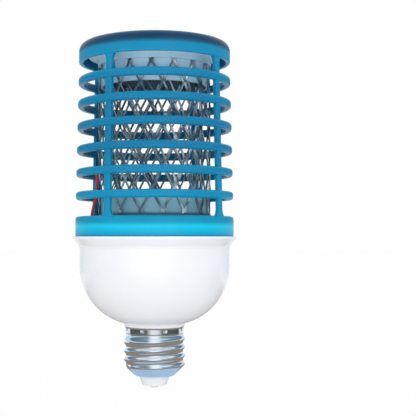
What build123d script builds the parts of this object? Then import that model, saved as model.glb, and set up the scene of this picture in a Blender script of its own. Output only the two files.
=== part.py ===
from build123d import *
from math import ceil, cos, floor, radians, sin, sqrt, tan
import os

# An electric insect killer in the form of a lamp, screw cap down. All sizes are in
# millimetres. The axis is +Z, the origin is the end face of the centre contact, and
# azimuths are counted from +X towards +Y.

# Screw cap
thread_pitch = 3.629
thread_turns = 3
thread_root_radius = 12.2
thread_depth = 0.9
thread_margin_turns = 0.45
ridge_width = 2.7
shell_wall = 0.4
shell_mouth_radius = 6.7
shell_mouth_round = 0.9
shell_lip = 1.7
shoulder_rise = 3.85
shoulder_round = 2.4
collar_step = 0.4
collar_length = 4.3
dimple_count = 8
dimple_radius = 0.75
dimple_depth = 0.5
dimple_hollow_radius = 0.6
dimple_taper = 30.0
dimple_drop = 1.0
dimple_azimuth = -69.0
contact_rise = 1.1
contact_radius = 2.4
contact_flat_radius = 1.6
contact_shank_radius = 1.4
insulator_rise = 4.05
insulator_end_radius = 5.3
insulator_flange = 0.6
insulator_flange_height = 1.6

# Opal cup
neck_overhang = 0.35
neck_rise = 1.35
neck_bore_wall = 1.5
bowl_arc_radius = 25.2
cup_wall = 1.6
cup_inset = 1.8
cup_wall_height = 8.5
flange_lip = 0.95
flange_thickness = 1.0
flare_height = 3.2
flare_round = 3.0

# Blue cage
cage_wall = 1.8
collar_height = 8.5
collar_round = 1.5
collar_inner_round = 0.6
skirt_wall = 1.2
skirt_reach = 4.0
shelf_overlap = 0.6
nib_height = 0.3
nib_length = 1.0
nib_span = 16.0
nib_slack = 1.0
nib_count = 4
ring_count = 6
ring_pitch = 9.74
ring_height = 3.4
ring_width = 2.7
ring_chamfer = 0.5
first_gap = 7.0
last_gap = 6.3
cage_taper = 1.6
rib_count = 4
rib_azimuth = -35.5
rib_width = 3.0
rib_depth = 1.7
rib_inset = 0.45
rib_flare = 1.1
rib_flare_height = 2.4
cap_height = 8.6
cap_round = 3.7

# Expanded-metal grids
outer_grid_radius = 23.35
outer_grid_turn = -3.0
inner_grid_turn = 0.0
grid_gap = 3.35
chamber_gap = 7.45
sheet_thickness = 0.5
outer_grid_cells = 16
inner_grid_cells = 14
cell_height = 17.0
strand_width = 1.0
bond_width = 1.9
outer_first_row = 2.7
inner_first_row = 6.4
grid_foot_rise = 0.8
grid_head_drop = 1.3

# Grid holders
holder_wall = 1.6
holder_skirt = 9.0
holder_spigot = 5.5
crown_margin = 0.95
brim_thickness = 1.8
lower_brim_drop = 0.2
upper_brim_rise = 3.7

# Screws and their bosses
screw_count = 3
screw_radius = 1.2
screw_length = 8.0
screw_head_radius = 1.8
screw_head_height = 1.4
head_rim_share = 0.6
head_top_share = 0.7
boss_radius = 2.3
boss_web = 1.2
lower_screw_azimuth = 30.0
upper_screw_azimuth = 0.0
upper_screw_circle = 12.0
board_screw_radius = 0.9
board_screw_length = 6.0
board_screw_head_radius = 1.5
board_post_circle = 18.0
board_post_azimuth = 90.0
slot_width = 0.5
slot_depth = 0.7

# Circuit boards and what they carry
driver_board_radius = 22.0
board_thickness = 1.6
driver_board_drop = 18.5
led_board_margin = 0.6
led_count = 6
led_circle = 8.5
led_length = 3.5
led_width = 2.8
led_height = 0.8
led_chamfer = 0.2
pin_radius = 0.35
film_capacitor_size = (18.0, 7.5, 12.5)
film_capacitor_round = 0.6
film_capacitor_place = (0.0, 10.5)
film_pin_span = 15.0
can_radius = 4.0
can_height = 12.0
can_place = (-10.5, 0.5)
can_pin_span = 3.5
rectifier_size = (6.0, 4.6, 2.4)
rectifier_place = (1.5, 1.5)
rectifier_leg = (0.7, 1.0)
rectifier_leg_pitch = 2.5
disc_radius = 4.2
disc_thickness = 2.8
disc_count = 4
disc_pitch = 4.4
disc_place = (0.0, -13.0)
disc_pin_span = 5.0
diode_size = (2.6, 4.2, 2.2)
diode_tab = (1.4, 0.5, 0.3)
diode_place = (0.0, -5.0)
resistor_radius = 1.6
resistor_length = 8.5
resistor_place = (11.5, -0.5)
resistor_pin_span = 12.0
chip_size = (1.7, 3.2, 0.6)
chip_places = ((-12.0, -14.5), (12.0, -14.5))

# Wires
lead_radius = 0.65
wire_radius = 0.5
lead_azimuth = 172.5
lead_top = 19.0
lead_straight = 9.0
lead_rise = 0.6
lead_board_circle = 20.3
lead_board_rise = 4.0
lead_brim_rise = 11.0
inner_lead_azimuth = 100.0
inner_lead_top = 12.0
inner_lead_inset = 2.2
inner_lead_gap = 0.3
inner_lead_board_gap = 1.5
inner_lead_bend_rise = 1.0
inner_lead_bend_drop = 2.0
live_wire_place = (7.2, 2.5)
neutral_wire_circle = 16.1
neutral_wire_azimuth = 150.0
led_wire_places = ((-1.5, -1.6), (1.5, -1.6))

# Clearances
sheet_fit = 0.1
moulding_fit = 0.2
pin_fit = 0.1

# Heights, from the tip upwards
insulator_bottom = contact_rise
shell_bottom = insulator_bottom + insulator_rise
thread_bottom = shell_bottom + shoulder_rise
thread_top = thread_bottom + thread_pitch * (thread_turns + thread_margin_turns)
shell_top = thread_top + collar_step + collar_length
spigot_bottom = thread_top + collar_step + shell_wall

collar_radius = outer_grid_radius + chamber_gap + ring_width + rib_inset
cup_radius = collar_radius - cup_inset
flange_radius = collar_radius + flange_lip
shell_radius = thread_root_radius + collar_step
spigot_radius = shell_radius - shell_wall - sheet_fit
neck_radius = shell_radius + neck_overhang
neck_bore = spigot_radius - neck_bore_wall

bowl_centre_x = cup_radius - bowl_arc_radius
bowl_bottom = shell_top + neck_rise
bowl_centre_z = bowl_bottom + sqrt(bowl_arc_radius**2 - (neck_radius - bowl_centre_x) ** 2)
flare_bottom = bowl_centre_z + cup_wall_height
cup_top = flare_bottom + flare_height + flange_thickness

collar_top = cup_top + collar_height
first_ring = collar_top + first_gap + ring_height / 2
last_ring = first_ring + ring_pitch * (ring_count - 1)
cap_bottom = last_ring + ring_height / 2 + last_gap
cap_top = cap_bottom + cap_height
grid_bottom = collar_top + grid_foot_rise
grid_top = cap_bottom - grid_head_drop
lower_brim_top = collar_top - cage_wall - lower_brim_drop
lower_brim_bottom = lower_brim_top - brim_thickness
upper_brim_bottom = grid_top + upper_brim_rise

# Radii inside the cage
skirt_radius = cup_radius - cup_wall - moulding_fit
skirt_bore = skirt_radius - skirt_wall
lower_brim_radius = skirt_bore - moulding_fit
shelf_bore = lower_brim_radius - shelf_overlap
cap_radius = collar_radius - cage_taper
upper_brim_radius = shelf_bore - moulding_fit
crown_radius = outer_grid_radius + crown_margin
lower_screw_circle = (crown_radius + shelf_bore) / 2
inner_grid_radius = outer_grid_radius - grid_gap
outer_collar_radius = outer_grid_radius - sheet_thickness / 2 - sheet_fit
inner_collar_radius = inner_grid_radius - sheet_thickness / 2 - sheet_fit
lead_circle = shelf_bore - lead_radius - moulding_fit
inner_lead_circle = inner_collar_radius - skirt_wall - inner_lead_inset
led_board_radius = inner_lead_circle - lead_radius - led_board_margin

# Heights inside the cup
driver_board_top = lower_brim_bottom - driver_board_drop
driver_board_bottom = driver_board_top - board_thickness


def cage_radius(height):
    """The cage's outer radius, which draws in evenly from the collar to the cap."""
    return collar_radius - cage_taper * (height - collar_top) / (cap_bottom - collar_top)


def around(radius, azimuth):
    """The point on a circle about the axis."""
    return (radius * cos(radians(azimuth)), radius * sin(radians(azimuth)))


def outward_plane(radius, azimuth):
    """A plane that faces outwards at a radius and azimuth, with its y axis up."""
    x, y = around(radius, azimuth)
    direction = around(1, azimuth)
    return Plane(origin=(x, y, 0), x_dir=(-direction[1], direction[0], 0), z_dir=(*direction, 0))


# Screw shell: one drawn sheet with its rolled thread and a ring of punched dimples
dimple_height = shell_top - dimple_drop
with BuildPart() as screw_shell:
    with BuildSketch(Plane.XZ):
        with BuildLine():
            FilletPolyline(
                (0, shell_bottom),
                (shell_mouth_radius + shell_lip, shell_bottom),
                (thread_root_radius, thread_bottom),
                (thread_root_radius, thread_top),
                (shell_radius, thread_top + collar_step),
                (shell_radius, shell_top),
                radius=(shell_mouth_round, shoulder_round, collar_step / 2, collar_step / 2),
            )
            Polyline((shell_radius, shell_top), (0, shell_top), (0, shell_bottom))
        make_face()
    revolve(axis=Axis.Z)
    offset(amount=-shell_wall, openings=screw_shell.faces().sort_by(Axis.Z)[-1])
    with BuildSketch(Plane.XY.offset(shell_bottom)):
        Circle(shell_mouth_radius)
    extrude(amount=shell_wall, mode=Mode.SUBTRACT)
    with BuildLine() as thread_path:
        Helix(
            pitch=thread_pitch,
            height=thread_pitch * thread_turns,
            radius=thread_root_radius - shell_wall / 2,
            center=(0, 0, thread_bottom + thread_pitch / 6),
        )
    with BuildSketch(Plane(thread_path.line @ 0, x_dir=(1, 0, 0), z_dir=thread_path.line % 0)):
        with BuildLine():
            crest = ThreePointArc(
                (0, -ridge_width / 2),
                (thread_depth + shell_wall / 2, 0),
                (0, ridge_width / 2),
            )
            Line(crest @ 1, crest @ 0)
        make_face()
    sweep(path=thread_path.line, is_frenet=True)
    dimple_planes = [
        outward_plane(shell_radius, dimple_azimuth + i * 360 / dimple_count)
        for i in range(dimple_count)
    ]
    with BuildSketch(*[plane.offset(-shell_wall / 2) for plane in dimple_planes]):
        with Locations((0, dimple_height)):
            Circle(dimple_radius)
    extrude(amount=-dimple_depth - shell_wall / 2, taper=dimple_taper)
    with BuildSketch(*dimple_planes):
        with Locations((0, dimple_height)):
            Circle(dimple_hollow_radius)
    extrude(amount=-dimple_depth, taper=dimple_taper, mode=Mode.SUBTRACT)

# White insulator that closes the shell's mouth
insulator_radius = shell_mouth_radius - sheet_fit
lip_top = shell_bottom + shell_wall
with BuildPart() as base_insulator:
    with BuildSketch(Plane.XZ):
        Polygon(
            (contact_shank_radius + pin_fit, insulator_bottom),
            (insulator_end_radius, insulator_bottom),
            (insulator_radius, shell_bottom),
            (insulator_radius, lip_top),
            (insulator_radius + insulator_flange, lip_top),
            (insulator_radius + insulator_flange, lip_top + insulator_flange_height),
            (contact_shank_radius + pin_fit, lip_top + insulator_flange_height),
            align=None,
        )
    revolve(axis=Axis.Z)

# Centre contact: a rivet with a flat end
contact_top = lip_top + insulator_flange_height
with BuildPart() as centre_contact:
    with BuildSketch(Plane.XZ):
        with BuildLine():
            Polyline(
                (contact_radius, contact_rise),
                (contact_shank_radius, contact_rise),
                (contact_shank_radius, contact_top),
                (0, contact_top),
                (0, 0),
                (contact_flat_radius, 0),
            )
            RadiusArc((contact_flat_radius, 0), (contact_radius, contact_rise), -contact_rise)
        make_face()
    revolve(axis=Axis.Z)

# The cup's cavity, with its bosses, webs and board posts left standing
inner_arc_radius = bowl_arc_radius - cup_wall
cavity_floor = bowl_centre_z - sqrt(inner_arc_radius**2 - (neck_bore - bowl_centre_x) ** 2)
lower_screw_azimuths = [lower_screw_azimuth + i * 360 / screw_count for i in range(screw_count)]
post_azimuths = [board_post_azimuth + i * 360 / screw_count for i in range(screw_count)]
web_top = cup_top - skirt_reach - moulding_fit
with BuildPart() as cup_cavity:
    with BuildSketch(Plane.XZ):
        with BuildLine():
            Polyline(
                (cup_radius - cup_wall, bowl_centre_z),
                (cup_radius - cup_wall, cup_top),
                (0, cup_top),
                (0, spigot_bottom),
                (neck_bore, spigot_bottom),
                (neck_bore, cavity_floor),
            )
            RadiusArc(
                (neck_bore, cavity_floor),
                (cup_radius - cup_wall, bowl_centre_z),
                -inner_arc_radius,
            )
        make_face()
    revolve(axis=Axis.Z)
    with BuildSketch(Plane.XY.offset(shell_top)):
        for azimuth in lower_screw_azimuths:
            with Locations(around(lower_screw_circle, azimuth)):
                Circle(boss_radius)
    extrude(until=Until.LAST, mode=Mode.SUBTRACT)
    with BuildSketch(Plane.XY.offset(shell_top)):
        for azimuth in lower_screw_azimuths:
            with Locations(Rotation(0, 0, azimuth)):
                with Locations((lower_screw_circle, 0)):
                    Rectangle(cup_radius, boss_web, align=(Align.MIN, Align.CENTER))
    extrude(amount=web_top - shell_top, mode=Mode.SUBTRACT)
    with BuildSketch(Plane.XY.offset(shell_top)):
        for azimuth in post_azimuths:
            with Locations(around(board_post_circle, azimuth)):
                Circle(boss_radius)
    extrude(amount=driver_board_bottom - shell_top, mode=Mode.SUBTRACT)

# Opal cup: neck spigot, round bowl, straight wall and flared rim
nib_radius = skirt_radius + nib_height + moulding_fit
nib_bottom = cup_top - skirt_reach + nib_length
with BuildPart() as housing_cup:
    with BuildSketch(Plane.XZ):
        with BuildLine():
            Polyline(
                (flange_radius, flare_bottom + flare_height),
                (flange_radius, cup_top),
                (0, cup_top),
                (0, spigot_bottom),
                (spigot_radius, spigot_bottom),
                (spigot_radius, shell_top),
                (neck_radius, shell_top),
                (neck_radius, bowl_bottom),
            )
            RadiusArc((neck_radius, bowl_bottom), (cup_radius, bowl_centre_z), -bowl_arc_radius)
            FilletPolyline(
                (cup_radius, bowl_centre_z),
                (cup_radius, flare_bottom),
                (flange_radius, flare_bottom + flare_height),
                radius=flare_round,
            )
        make_face()
    revolve(axis=Axis.Z)
    add(cup_cavity.part, mode=Mode.SUBTRACT)
    with BuildSketch(Plane.XY.offset(cup_top)):
        for azimuth in lower_screw_azimuths:
            with Locations(around(lower_screw_circle, azimuth)):
                Circle(boss_radius)
    extrude(amount=lower_brim_bottom - cup_top)
    with BuildSketch(Plane.XY.offset(lower_brim_bottom)):
        for azimuth in lower_screw_azimuths:
            with Locations(around(lower_screw_circle, azimuth)):
                Circle(screw_radius + sheet_fit)
    extrude(amount=-screw_length, mode=Mode.SUBTRACT)
    with BuildSketch(Plane.XY.offset(driver_board_bottom)):
        for azimuth in post_azimuths:
            with Locations(around(board_post_circle, azimuth)):
                Circle(board_screw_radius + sheet_fit)
    extrude(amount=-board_screw_length, mode=Mode.SUBTRACT)
    with BuildSketch(*[plane.offset(-shell_wall) for plane in dimple_planes]):
        with Locations((0, dimple_height)):
            Circle(dimple_radius + sheet_fit)
    extrude(amount=-dimple_depth - sheet_fit, taper=dimple_taper, mode=Mode.SUBTRACT)
    for i in range(nib_count):
        nib_start = rib_azimuth + i * 360 / nib_count - nib_span / 2 - nib_slack
        with BuildSketch(Plane.XZ.rotated((0, 0, nib_start))):
            with Locations((skirt_radius, nib_bottom - moulding_fit)):
                Rectangle(
                    nib_radius - skirt_radius,
                    nib_length + 2 * moulding_fit,
                    align=Align.MIN,
                )
        revolve(axis=Axis.Z, revolution_arc=nib_span + 2 * nib_slack, mode=Mode.SUBTRACT)

# Cage: collar, tapering ribs, rings and closed cap in one moulding
rib_band_top = cap_bottom + cage_wall
rib_band_bottom = collar_top - cage_wall
ring_heights = [first_ring + i * ring_pitch for i in range(ring_count)]
upper_screw_azimuths = [upper_screw_azimuth + i * 360 / screw_count for i in range(screw_count)]
with BuildPart() as rib_set:
    with BuildSketch(Plane.XZ):
        rib_outer = rib_inset + ring_width - rib_depth
        Polygon(
            (cage_radius(rib_band_bottom) - rib_outer - rib_depth, rib_band_bottom),
            (cage_radius(rib_band_bottom) - rib_outer, rib_band_bottom),
            (cage_radius(rib_band_top) - rib_outer, rib_band_top),
            (cage_radius(rib_band_top) - rib_outer - rib_depth, rib_band_top),
            align=None,
        )
    revolve(axis=Axis.Z)
    half_rib = rib_width / 2
    rib_planes = [
        outward_plane(cap_radius / 2, rib_azimuth + i * 360 / rib_count) for i in range(rib_count)
    ]
    with BuildSketch(*rib_planes):
        Polygon(
            (-half_rib - rib_flare, rib_band_bottom),
            (half_rib + rib_flare, rib_band_bottom),
            (half_rib + rib_flare, collar_top),
            (half_rib, collar_top + rib_flare_height),
            (half_rib, cap_bottom - rib_flare_height),
            (half_rib + rib_flare, cap_bottom),
            (half_rib + rib_flare, rib_band_top),
            (-half_rib - rib_flare, rib_band_top),
            (-half_rib - rib_flare, cap_bottom),
            (-half_rib, cap_bottom - rib_flare_height),
            (-half_rib, collar_top + rib_flare_height),
            (-half_rib - rib_flare, collar_top),
            align=None,
        )
    extrude(amount=collar_radius, mode=Mode.INTERSECT)

with BuildPart() as cage:
    with BuildSketch(Plane.XZ):
        with BuildLine():
            FilletPolyline(
                (skirt_radius, collar_top - cage_wall),
                (collar_radius - cage_wall, collar_top - cage_wall),
                (collar_radius - cage_wall, cup_top),
                radius=collar_inner_round,
            )
            Line((collar_radius - cage_wall, cup_top), (collar_radius, cup_top))
            FilletPolyline(
                (collar_radius, cup_top),
                (collar_radius, collar_top),
                (shelf_bore, collar_top),
                radius=collar_round,
            )
            Polyline(
                (shelf_bore, collar_top),
                (shelf_bore, collar_top - cage_wall),
                (skirt_bore, collar_top - cage_wall),
                (skirt_bore, cup_top - skirt_reach),
                (skirt_radius, cup_top - skirt_reach),
                (skirt_radius, collar_top - cage_wall),
            )
        make_face()
        for height in ring_heights:
            with BuildLine():
                inner = cage_radius(height) - ring_width
                outer = cage_radius(height)
                low = height - ring_height / 2
                high = height + ring_height / 2
                Polyline(
                    (inner, low),
                    (outer - ring_chamfer, low),
                    (outer, low + ring_chamfer),
                    (outer, high - ring_chamfer),
                    (outer - ring_chamfer, high),
                    (inner, high),
                    close=True,
                )
            make_face()
        with BuildLine():
            FilletPolyline(
                (cap_radius, cap_bottom),
                (cap_radius, cap_top),
                (0, cap_top),
                radius=cap_round,
            )
            Line((0, cap_top), (0, cap_top - cage_wall))
            FilletPolyline(
                (0, cap_top - cage_wall),
                (cap_radius - cage_wall, cap_top - cage_wall),
                (cap_radius - cage_wall, cap_bottom),
                radius=cap_round - cage_wall,
            )
            Line((cap_radius - cage_wall, cap_bottom), (cap_radius, cap_bottom))
        make_face()
    revolve(axis=Axis.Z)
    add(rib_set.part)
    with BuildSketch(Plane.XY.offset(grid_top + holder_wall)):
        for azimuth in upper_screw_azimuths:
            with Locations(around(upper_screw_circle, azimuth)):
                Circle(boss_radius)
                Circle(screw_radius + sheet_fit, mode=Mode.SUBTRACT)
    extrude(amount=cap_top - cage_wall - grid_top - holder_wall)
    for i in range(nib_count):
        nib_start = rib_azimuth + i * 360 / nib_count - nib_span / 2
        with BuildSketch(Plane.XZ.rotated((0, 0, nib_start))):
            with Locations((skirt_radius - skirt_wall / 2, nib_bottom)):
                Rectangle(skirt_wall / 2 + nib_height, nib_length, align=Align.MIN)
        revolve(axis=Axis.Z, revolution_arc=nib_span)


def expanded_grid(radius, cells, turn, first_row):
    """A rolled expanded-metal cylinder.

    The sheet is a faceted tube whose creases run down the columns of bonds. Each opening
    is a diamond with its two side corners cut off by the bonds, and alternate columns
    are staggered by half a cell.
    """
    step = 180 / cells
    half_width = radius * tan(radians(step))
    half_height = cell_height / 2
    slope = sqrt(half_width**2 + half_height**2)
    open_width = half_width * (1 - strand_width / 2 * slope / (half_width * half_height))
    open_height = half_height * (1 - strand_width / 2 * slope / (half_width * half_height))
    side = half_width - bond_width / 2
    side_height = open_height * (1 - side / open_width)
    row_pitch = cell_height / 2
    lowest = ceil((-first_row - open_height) / row_pitch)
    highest = floor((grid_top - grid_bottom - first_row + open_height) / row_pitch)
    with BuildPart() as grid:
        with BuildSketch(Plane.XY.offset(grid_bottom)):
            outside = radius + sheet_thickness / 2
            inside = radius - sheet_thickness / 2
            RegularPolygon(outside, 2 * cells, major_radius=False, rotation=turn + step / 2)
            RegularPolygon(
                inside,
                2 * cells,
                major_radius=False,
                rotation=turn + step / 2,
                mode=Mode.SUBTRACT,
            )
        extrude(amount=grid_top - grid_bottom)
        for parity in (0, 1):
            planes = [
                outward_plane(radius - 2 * sheet_thickness, turn + step * (2 * i + parity))
                for i in range(cells)
            ]
            with BuildSketch(*planes):
                for row in range(lowest, highest + 1):
                    if row % 2 == parity:
                        with Locations((0, grid_bottom + first_row + row * row_pitch)):
                            Polygon(
                                (side, side_height),
                                (0, open_height),
                                (-side, side_height),
                                (-side, -side_height),
                                (0, -open_height),
                                (side, -side_height),
                                align=None,
                            )
            extrude(amount=4 * sheet_thickness, mode=Mode.SUBTRACT)
    return grid.part


with BuildPart() as outer_grid:
    add(expanded_grid(outer_grid_radius, outer_grid_cells, outer_grid_turn, outer_first_row))

with BuildPart() as inner_grid:
    add(expanded_grid(inner_grid_radius, inner_grid_cells, inner_grid_turn, inner_first_row))

# Lower grid holder: a brim held by screws, a crown and the two collars inside the grids
with BuildPart() as lower_grid_holder:
    with BuildSketch(Plane.XZ):
        Polygon(
            (crown_radius - holder_wall, lower_brim_bottom),
            (lower_brim_radius, lower_brim_bottom),
            (lower_brim_radius, lower_brim_top),
            (crown_radius, lower_brim_top),
            (crown_radius, grid_bottom),
            (0, grid_bottom),
            (0, grid_bottom - holder_wall),
            (crown_radius - holder_wall, grid_bottom - holder_wall),
            align=None,
        )
    revolve(axis=Axis.Z)
    with BuildSketch(Plane.XY.offset(grid_bottom)):
        Circle(outer_collar_radius)
        Circle(outer_collar_radius - skirt_wall, mode=Mode.SUBTRACT)
    extrude(amount=holder_skirt)
    with BuildSketch(Plane.XY.offset(grid_bottom)):
        Circle(inner_collar_radius)
        Circle(inner_collar_radius - skirt_wall, mode=Mode.SUBTRACT)
    extrude(amount=holder_spigot)
    with BuildSketch(Plane.XY.offset(grid_bottom)):
        for azimuth in lower_screw_azimuths:
            with Locations(around(lower_screw_circle, azimuth)):
                Circle(screw_radius + moulding_fit)
        with Locations(around(lead_circle, lead_azimuth)):
            Circle(lead_radius + sheet_fit)
        with Locations(around(inner_lead_circle, inner_lead_azimuth)):
            Circle(lead_radius + sheet_fit)
        with Locations(*led_wire_places):
            Circle(wire_radius + pin_fit)
    extrude(amount=lower_brim_bottom - grid_bottom, mode=Mode.SUBTRACT)

# Upper grid holder: the same form hung in the cap
with BuildPart() as upper_grid_holder:
    with BuildSketch(Plane.XZ):
        Polygon(
            (0, grid_top),
            (crown_radius, grid_top),
            (crown_radius, upper_brim_bottom),
            (upper_brim_radius, upper_brim_bottom),
            (upper_brim_radius, upper_brim_bottom + brim_thickness),
            (crown_radius - holder_wall, upper_brim_bottom + brim_thickness),
            (crown_radius - holder_wall, grid_top + holder_wall),
            (0, grid_top + holder_wall),
            align=None,
        )
    revolve(axis=Axis.Z)
    with BuildSketch(Plane.XY.offset(grid_top)):
        Circle(outer_collar_radius)
        Circle(outer_collar_radius - skirt_wall, mode=Mode.SUBTRACT)
    extrude(amount=-holder_skirt)
    with BuildSketch(Plane.XY.offset(grid_top)):
        Circle(inner_collar_radius)
        Circle(inner_collar_radius - skirt_wall, mode=Mode.SUBTRACT)
    extrude(amount=-holder_spigot)
    with BuildSketch(Plane.XY.offset(grid_top)):
        for azimuth in upper_screw_azimuths:
            with Locations(around(upper_screw_circle, azimuth)):
                Circle(screw_radius + moulding_fit)
    extrude(amount=holder_wall, mode=Mode.SUBTRACT)


def pan_screw(radius, length, head_radius):
    """A pan-head screw with its head's seat at the origin, its shank down and a cross slot."""
    with BuildPart() as screw:
        with BuildSketch(Plane.XZ):
            Polygon(
                (0, -length),
                (radius / 3, -length),
                (radius, -length + radius),
                (radius, 0),
                (head_radius, 0),
                (head_radius, screw_head_height * head_rim_share),
                (head_radius * head_top_share, screw_head_height),
                (0, screw_head_height),
                align=None,
            )
        revolve(axis=Axis.Z)
        with BuildSketch(Plane.XY.offset(screw_head_height)):
            Rectangle(head_radius, slot_width)
            Rectangle(slot_width, head_radius)
        extrude(amount=-slot_depth, mode=Mode.SUBTRACT)
    return screw.part


# Screws of the two holders, the upper ones pointing up
holder_screw = pan_screw(screw_radius, screw_length, screw_head_radius)
with BuildPart() as holder_screws:
    for azimuth in lower_screw_azimuths:
        with Locations((*around(lower_screw_circle, azimuth), lower_brim_top)):
            add(holder_screw)
    for azimuth in upper_screw_azimuths:
        with Locations(Location((*around(upper_screw_circle, azimuth), grid_top), (180, 0, 0))):
            add(holder_screw)

# Driver board on its three posts
board_screw = pan_screw(board_screw_radius, board_screw_length, board_screw_head_radius)
film_x, film_y = film_capacitor_place
can_x, can_y = can_place
resistor_x, resistor_y = resistor_place
board_pins = {
    "film": [(film_x + side * film_pin_span / 2, film_y) for side in (-1, 1)],
    "can": [(can_x, can_y + side * can_pin_span / 2) for side in (-1, 1)],
    "resistor": [(resistor_x, resistor_y + side * resistor_pin_span / 2) for side in (-1, 1)],
}
disc_columns = [disc_place[0] + (i - (disc_count - 1) / 2) * disc_pitch for i in range(disc_count)]
board_pins["disc"] = [
    (x, disc_place[1] + side * disc_pin_span / 2) for x in disc_columns for side in (-1, 1)
]
inner_lead_hole = around(inner_lead_circle, inner_lead_azimuth)
inner_lead_side = film_y + film_capacitor_size[1] / 2 + lead_radius + inner_lead_board_gap
inner_lead_foot = (inner_lead_hole[0], inner_lead_side)
lead_holes = [
    live_wire_place,
    around(neutral_wire_circle, neutral_wire_azimuth),
    around(lead_board_circle, lead_azimuth),
    inner_lead_foot,
]
all_pins = [place for places in board_pins.values() for place in places]
with BuildPart() as driver_board:
    with BuildSketch(Plane.XY.offset(driver_board_bottom)):
        Circle(driver_board_radius)
        for azimuth in post_azimuths:
            with Locations(around(board_post_circle, azimuth)):
                Circle(board_screw_radius + moulding_fit, mode=Mode.SUBTRACT)
        with Locations(*all_pins):
            Circle(pin_radius + pin_fit, mode=Mode.SUBTRACT)
        with Locations(*lead_holes):
            Circle(lead_radius + pin_fit, mode=Mode.SUBTRACT)
        with Locations(*led_wire_places):
            Circle(wire_radius + pin_fit, mode=Mode.SUBTRACT)
    extrude(amount=board_thickness)

with BuildPart() as board_screws:
    for azimuth in post_azimuths:
        with Locations((*around(board_post_circle, azimuth), driver_board_top)):
            add(board_screw)

# Film capacitor that drops the mains
with BuildPart() as dropper_capacitor:
    with BuildSketch(Plane.XY.offset(driver_board_top)):
        with Locations(film_capacitor_place):
            RectangleRounded(film_capacitor_size[0], film_capacitor_size[1], film_capacitor_round)
    extrude(amount=film_capacitor_size[2])
    with BuildSketch(Plane.XY.offset(driver_board_top)):
        with Locations(*board_pins["film"]):
            Circle(pin_radius)
    extrude(amount=-board_thickness)

# Electrolytic can
with BuildPart() as smoothing_capacitor:
    with BuildSketch(Plane.XY.offset(driver_board_top)):
        with Locations(can_place):
            Circle(can_radius)
    extrude(amount=can_height)
    with BuildSketch(Plane.XY.offset(driver_board_top)):
        with Locations(*board_pins["can"]):
            Circle(pin_radius)
    extrude(amount=-board_thickness)

# Rectifier with four bent legs on the board's face
with BuildPart() as bridge_rectifier:
    with BuildSketch(Plane.XY.offset(driver_board_top + pin_radius)):
        with Locations(rectifier_place):
            Rectangle(rectifier_size[0], rectifier_size[1])
    extrude(amount=rectifier_size[2])
    with BuildSketch(Plane.XY.offset(driver_board_top)):
        with Locations(rectifier_place):
            with GridLocations(rectifier_leg_pitch, rectifier_size[1], 2, 2):
                Rectangle(rectifier_leg[0], 2 * rectifier_leg[1])
    extrude(amount=2 * pin_radius)

# Ceramic discs of the multiplier, standing in a row
with BuildPart() as multiplier_capacitors:
    for x in disc_columns:
        disc_plane = Plane.YZ.offset(x - disc_thickness / 2)
        with BuildSketch(disc_plane):
            with Locations((disc_place[1], driver_board_top + disc_radius)):
                Circle(disc_radius)
        extrude(amount=disc_thickness)
    with BuildSketch(Plane.XY.offset(driver_board_top - board_thickness)):
        with Locations(*board_pins["disc"]):
            Circle(pin_radius)
    extrude(amount=board_thickness + disc_radius / 2)

# Diodes of the multiplier, lying between the discs and the rectifier
with BuildPart() as multiplier_diodes:
    for x in disc_columns:
        with BuildSketch(Plane.XY.offset(driver_board_top)):
            with Locations((x, diode_place[1])):
                Rectangle(diode_size[0], diode_size[1])
        extrude(amount=diode_size[2])
        with BuildSketch(Plane.XY.offset(driver_board_top)):
            with Locations((x, diode_place[1])):
                Rectangle(diode_tab[0], diode_size[1] + 2 * diode_tab[1])
        extrude(amount=diode_tab[2])

# Fusible resistor on two bent legs
with BuildPart() as fusible_resistor:
    with BuildSketch(Plane.XZ.offset(-resistor_y - resistor_length / 2)):
        with Locations((resistor_x, driver_board_top + resistor_radius)):
            Circle(resistor_radius)
    extrude(amount=resistor_length)
    for side in (-1, 1):
        leg_y = resistor_y + side * resistor_pin_span / 2
        leg_z = driver_board_top + resistor_radius
        with BuildLine() as leg_path:
            FilletPolyline(
                (resistor_x, resistor_y + side * resistor_length / 2, leg_z),
                (resistor_x, leg_y, leg_z),
                (resistor_x, leg_y, driver_board_bottom),
                radius=2 * pin_radius,
            )
        with BuildSketch(Plane(leg_path.line @ 0, z_dir=leg_path.line % 0)):
            Circle(pin_radius)
        sweep(path=leg_path.line)

# Chip resistors that discharge the grids
with BuildPart() as bleed_resistors:
    with BuildSketch(Plane.XY.offset(driver_board_top)):
        with Locations(*chip_places):
            Rectangle(chip_size[0], chip_size[1])
    extrude(amount=chip_size[2])

# Lamp board on the lower crown, with its emitters
led_board_top = grid_bottom + board_thickness
with BuildPart() as led_board:
    with BuildSketch(Plane.XY.offset(grid_bottom)):
        Circle(led_board_radius)
        with Locations(*led_wire_places):
            Circle(wire_radius + pin_fit, mode=Mode.SUBTRACT)
    extrude(amount=board_thickness)

with BuildPart() as uv_leds:
    with BuildSketch(Plane.XY.offset(led_board_top)):
        with PolarLocations(led_circle, led_count):
            Rectangle(led_length, led_width)
    extrude(amount=led_height)
    chamfer(uv_leds.faces().group_by(Axis.Z)[-1].edges(), led_chamfer)


def wire(points, radius, bend):
    """A round wire along straight runs joined by tangent arcs."""
    with BuildPart() as strand:
        with BuildLine() as path:
            if bend:
                FilletPolyline(*points, radius=bend)
            else:
                Polyline(*points)
        with BuildSketch(Plane(path.line @ 0, z_dir=path.line % 0)):
            Circle(radius)
        sweep(path=path.line)
    return strand.part


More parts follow.
